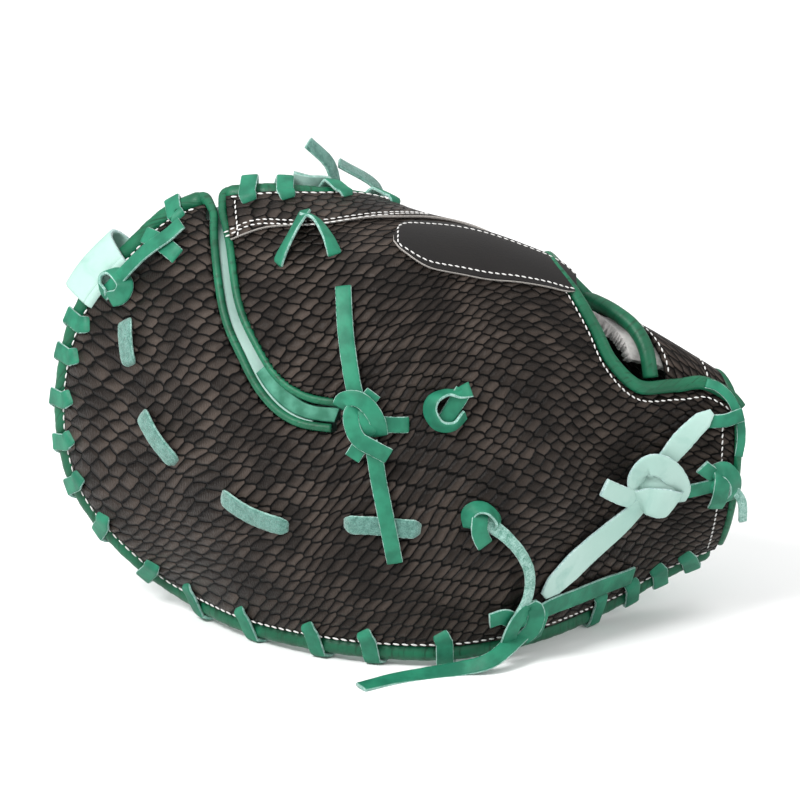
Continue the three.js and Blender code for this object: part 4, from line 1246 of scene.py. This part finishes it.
tied("lower_heel_tie", "heel_lace_lower", (
    ((11.04, 0.238, 0.2), (11.33, 0.251, 1), (11.52, 0.261, 1.2), (11.7, 0.274, 1.6)),
    ((11.78, 0.317, 1), (11.78, 0.306, 5), (11.77, 0.276, 5.4), (11.75, 0.24, 4), (11.73, 0.21, 1)),
    ((11.64, 0.301, 1.6, -30), (11.8, 0.324, 3, -40), (11.94, 0.308, 4, -40), (11.98, 0.271, 3, -40),
     (11.92, 0.237, 1.6, -30)),
    ((11.69, 0.297, 1.5), (11.57, 0.31, 2.4), (11.48, 0.319, 3)),
    ((11.86, 0.29, 2.4), (12.0, 0.265, 3), (12.1, 0.235, 3.4), (12.16, 0.174, 3)),
), width=NARROW_WIDTH, rough=(4,), tapers=((4, ((0, 0.6), (1, 0.55))),),
    lumps=((11.79, 0.273, 1.6, (5.5, 6, 3.4)),))

# Stitching
# Rows of thick white thread hold the bindings, the overlay and the patch. Each stitch is slightly skewed,
# as a lockstitch is.

STITCH_PITCH = 3.1
STITCH_LENGTH = 2.35
STITCH_RADIUS = 0.4
STITCH_FLATNESS = 0.75
STITCH_SKEW = 0.16
RIM_SCALE = 1.3


def thread():
    """White bonded thread."""
    material, where = new_material("white_thread")
    twist = where.noise(2500.0, 2.0)
    return set_shader(
        material, Base_Color=twist.mix("a8a6a3", "efeeec"), Roughness=0.7, Normal=twist.bump(0.5, 0.0002))


white_thread = thread()


def stitches_on(name, station, across, lift, surface=back_surface, facing=1, scale=1.0):
    """A row of stitches through places on a surface."""
    normal = normal_of(surface, station, across) * facing
    points, faces = evened(lifted(surface, station, across, lift), normal, STITCH_PITCH * scale)
    mesh = bpy.data.meshes.new(name)
    with editing(mesh) as bm:
        for point, tangent, face, side in zip(points, *frame_of(points, faces)):
            long = (tangent + side * STITCH_SKEW) * STITCH_LENGTH / 2
            halves = (side * STITCH_RADIUS, face * STITCH_RADIUS * STITCH_FLATNESS, long)
            add_ball(bm, point, [half * scale for half in halves], 6, 5)
    mesh.shade_smooth()
    piece(name, mesh, [white_thread], "smooth_leather")


def beside_rim(sheet, start, end, distance, count=90):
    """Places on a sheet at a distance from the rim."""
    places = []
    for at in np.linspace(start, end, count):
        point, _, _, inward = rim_frame(at)
        places.append(sheet.nearest(point + inward * distance))
    return np.array(places).T


RIM_STITCH = 6.9
SIDE_STITCH = 5.6
ON_BACK = BACK_TOP + 0.15
ON_PANEL = PANEL_TOP + 0.15
ON_PALM = PALM_TOP - PALM_LEATHER - 0.15
ON_STRAP = STRAP_TOP + 0.15
places = beside_rim(back_sheet, -11.8, 4.32, RIM_STITCH)
stitches_on("finger_rim_stitches", *places, BACK_TOP + 0.05, scale=RIM_SCALE)
station, across = beside_rim(back_sheet, 5.0, 11.8, RIM_STITCH)
lift = np.where(station < PANEL_END, ON_PANEL, ON_BACK)
stitches_on("thumb_rim_stitches", station, across, lift, scale=RIM_SCALE)
places = beside_rim(palm_sheet, -11.7, 11.7, RIM_STITCH, 150)
stitches_on("palm_rim_stitches", *places, ON_PALM, palm_surface, -1, RIM_SCALE)
share = np.linspace(0.01, 0.98, 200)
stitches_on("opening_stitches", *shifted(OPENING, share, SIDE_STITCH), ON_BACK)
seam = np.linspace(0.01, 0.84, 90)
for row, offset in (("lower", 2.0), ("upper", 4.4)):
    stitches_on(f"{row}_seam_stitches", *shifted(PANEL_EDGE, seam, offset), ON_PANEL)
side = np.linspace(0.1, 0.185, 30)
stitches_on("overlay_side_stitches", *shifted(SLOT, side, value_on(SLOT, 2, side) + SIDE_STITCH), ON_PANEL)
around = np.concatenate((
    np.stack((np.linspace(0.93, 0.06, 58), np.full(58, 0.09)), -1),
    np.stack((np.full(14, 0.05), np.linspace(0.14, 0.86, 14)), -1),
    np.stack((np.linspace(0.06, 0.95, 59), np.full(59, 0.9)), -1),
))
stitches_on("patch_stitches", *patch_place(around[:, 0], around[:, 1]), PATCH_TOP + 0.15)
heel_across = np.linspace(0.06, 0.44, 60)
stitches_on("heel_stitches", HEEL - 0.22 + 0 * heel_across, heel_across, ON_BACK)
strap_across = np.linspace(0.54, 0.86, 60)
stitches_on("strap_edge_stitches", strap_edge(strap_across) + 0.04, strap_across, ON_STRAP)
stitches_on("strap_end_stitches", HEEL - 0.34 + 0 * strap_across, strap_across, ON_STRAP)

# Camera, light and floor
# The view is from in front of the back of the hand and a little above it, with a long lens.

VIEW_WIDTH = 0.36
DISTANCE = 6.0
ELEVATION = math.radians(18)
FLOOR_SIZE = 15
camera = bpy.data.objects.new("camera", bpy.data.cameras.new("camera"))
bpy.context.collection.objects.link(camera)
camera.data.sensor_width = 36
camera.data.lens = 36 * DISTANCE / VIEW_WIDTH
camera.data.clip_end = 50
aim = np.array((0.0003, 0, 0.1097))
camera.location = aim + DISTANCE * np.array((0, -math.cos(ELEVATION), math.sin(ELEVATION)))
camera.rotation_euler = (math.radians(90) - ELEVATION, 0, 0)
bpy.context.scene.camera = camera

floor_mesh = bpy.data.meshes.new("floor")
with editing(floor_mesh) as bm:
    bmesh.ops.create_grid(bm, x_segments=1, y_segments=1, size=FLOOR_SIZE)
floor = bpy.data.objects.new("floor", floor_mesh)
bpy.context.collection.objects.link(floor)
paper, _ = new_material("floor_paper")
floor_mesh.materials.append(
    set_shader(paper, Base_Color=(0.9, 0.9, 0.9, 1), Roughness=0.9, Specular_IOR_Level=0.1))

world = bpy.data.worlds.new("studio")
bpy.context.scene.world = world
world.use_nodes = True
sky = Shade(world.node_tree)
height = sky.node("SeparateXYZ", {}, {"Vector": sky.node("TexCoord", output="Generated")}, "Z")
light = height.smooth(-0.1, 0.9).mix((0.36, 0.36, 0.36, 1), (1.2, 1.2, 1.2, 1))
world.node_tree.links.new(light.output, world.node_tree.nodes["Background"].inputs["Color"])


def area_light(name, place, size, power):
    """A soft box that faces the mitt."""
    data = bpy.data.lights.new(name, "AREA")
    data.shape = "DISK"
    data.size = size
    data.energy = power
    light = bpy.data.objects.new(name, data)
    bpy.context.collection.objects.link(light)
    light.location = place
    direction = np.array((0, 0, 0.1)) - np.array(place)
    light.rotation_euler = (
        math.atan2(math.hypot(direction[0], direction[1]), -direction[2]), 0,
        math.atan2(direction[1], direction[0]) - math.pi / 2)


area_light("key_light", (-0.9, -0.8, 1.3), 0.7, 30)
area_light("side_light", (1.3, -0.6, 0.8), 0.8, 6)
bpy.context.scene.view_settings.view_transform = "Standard"
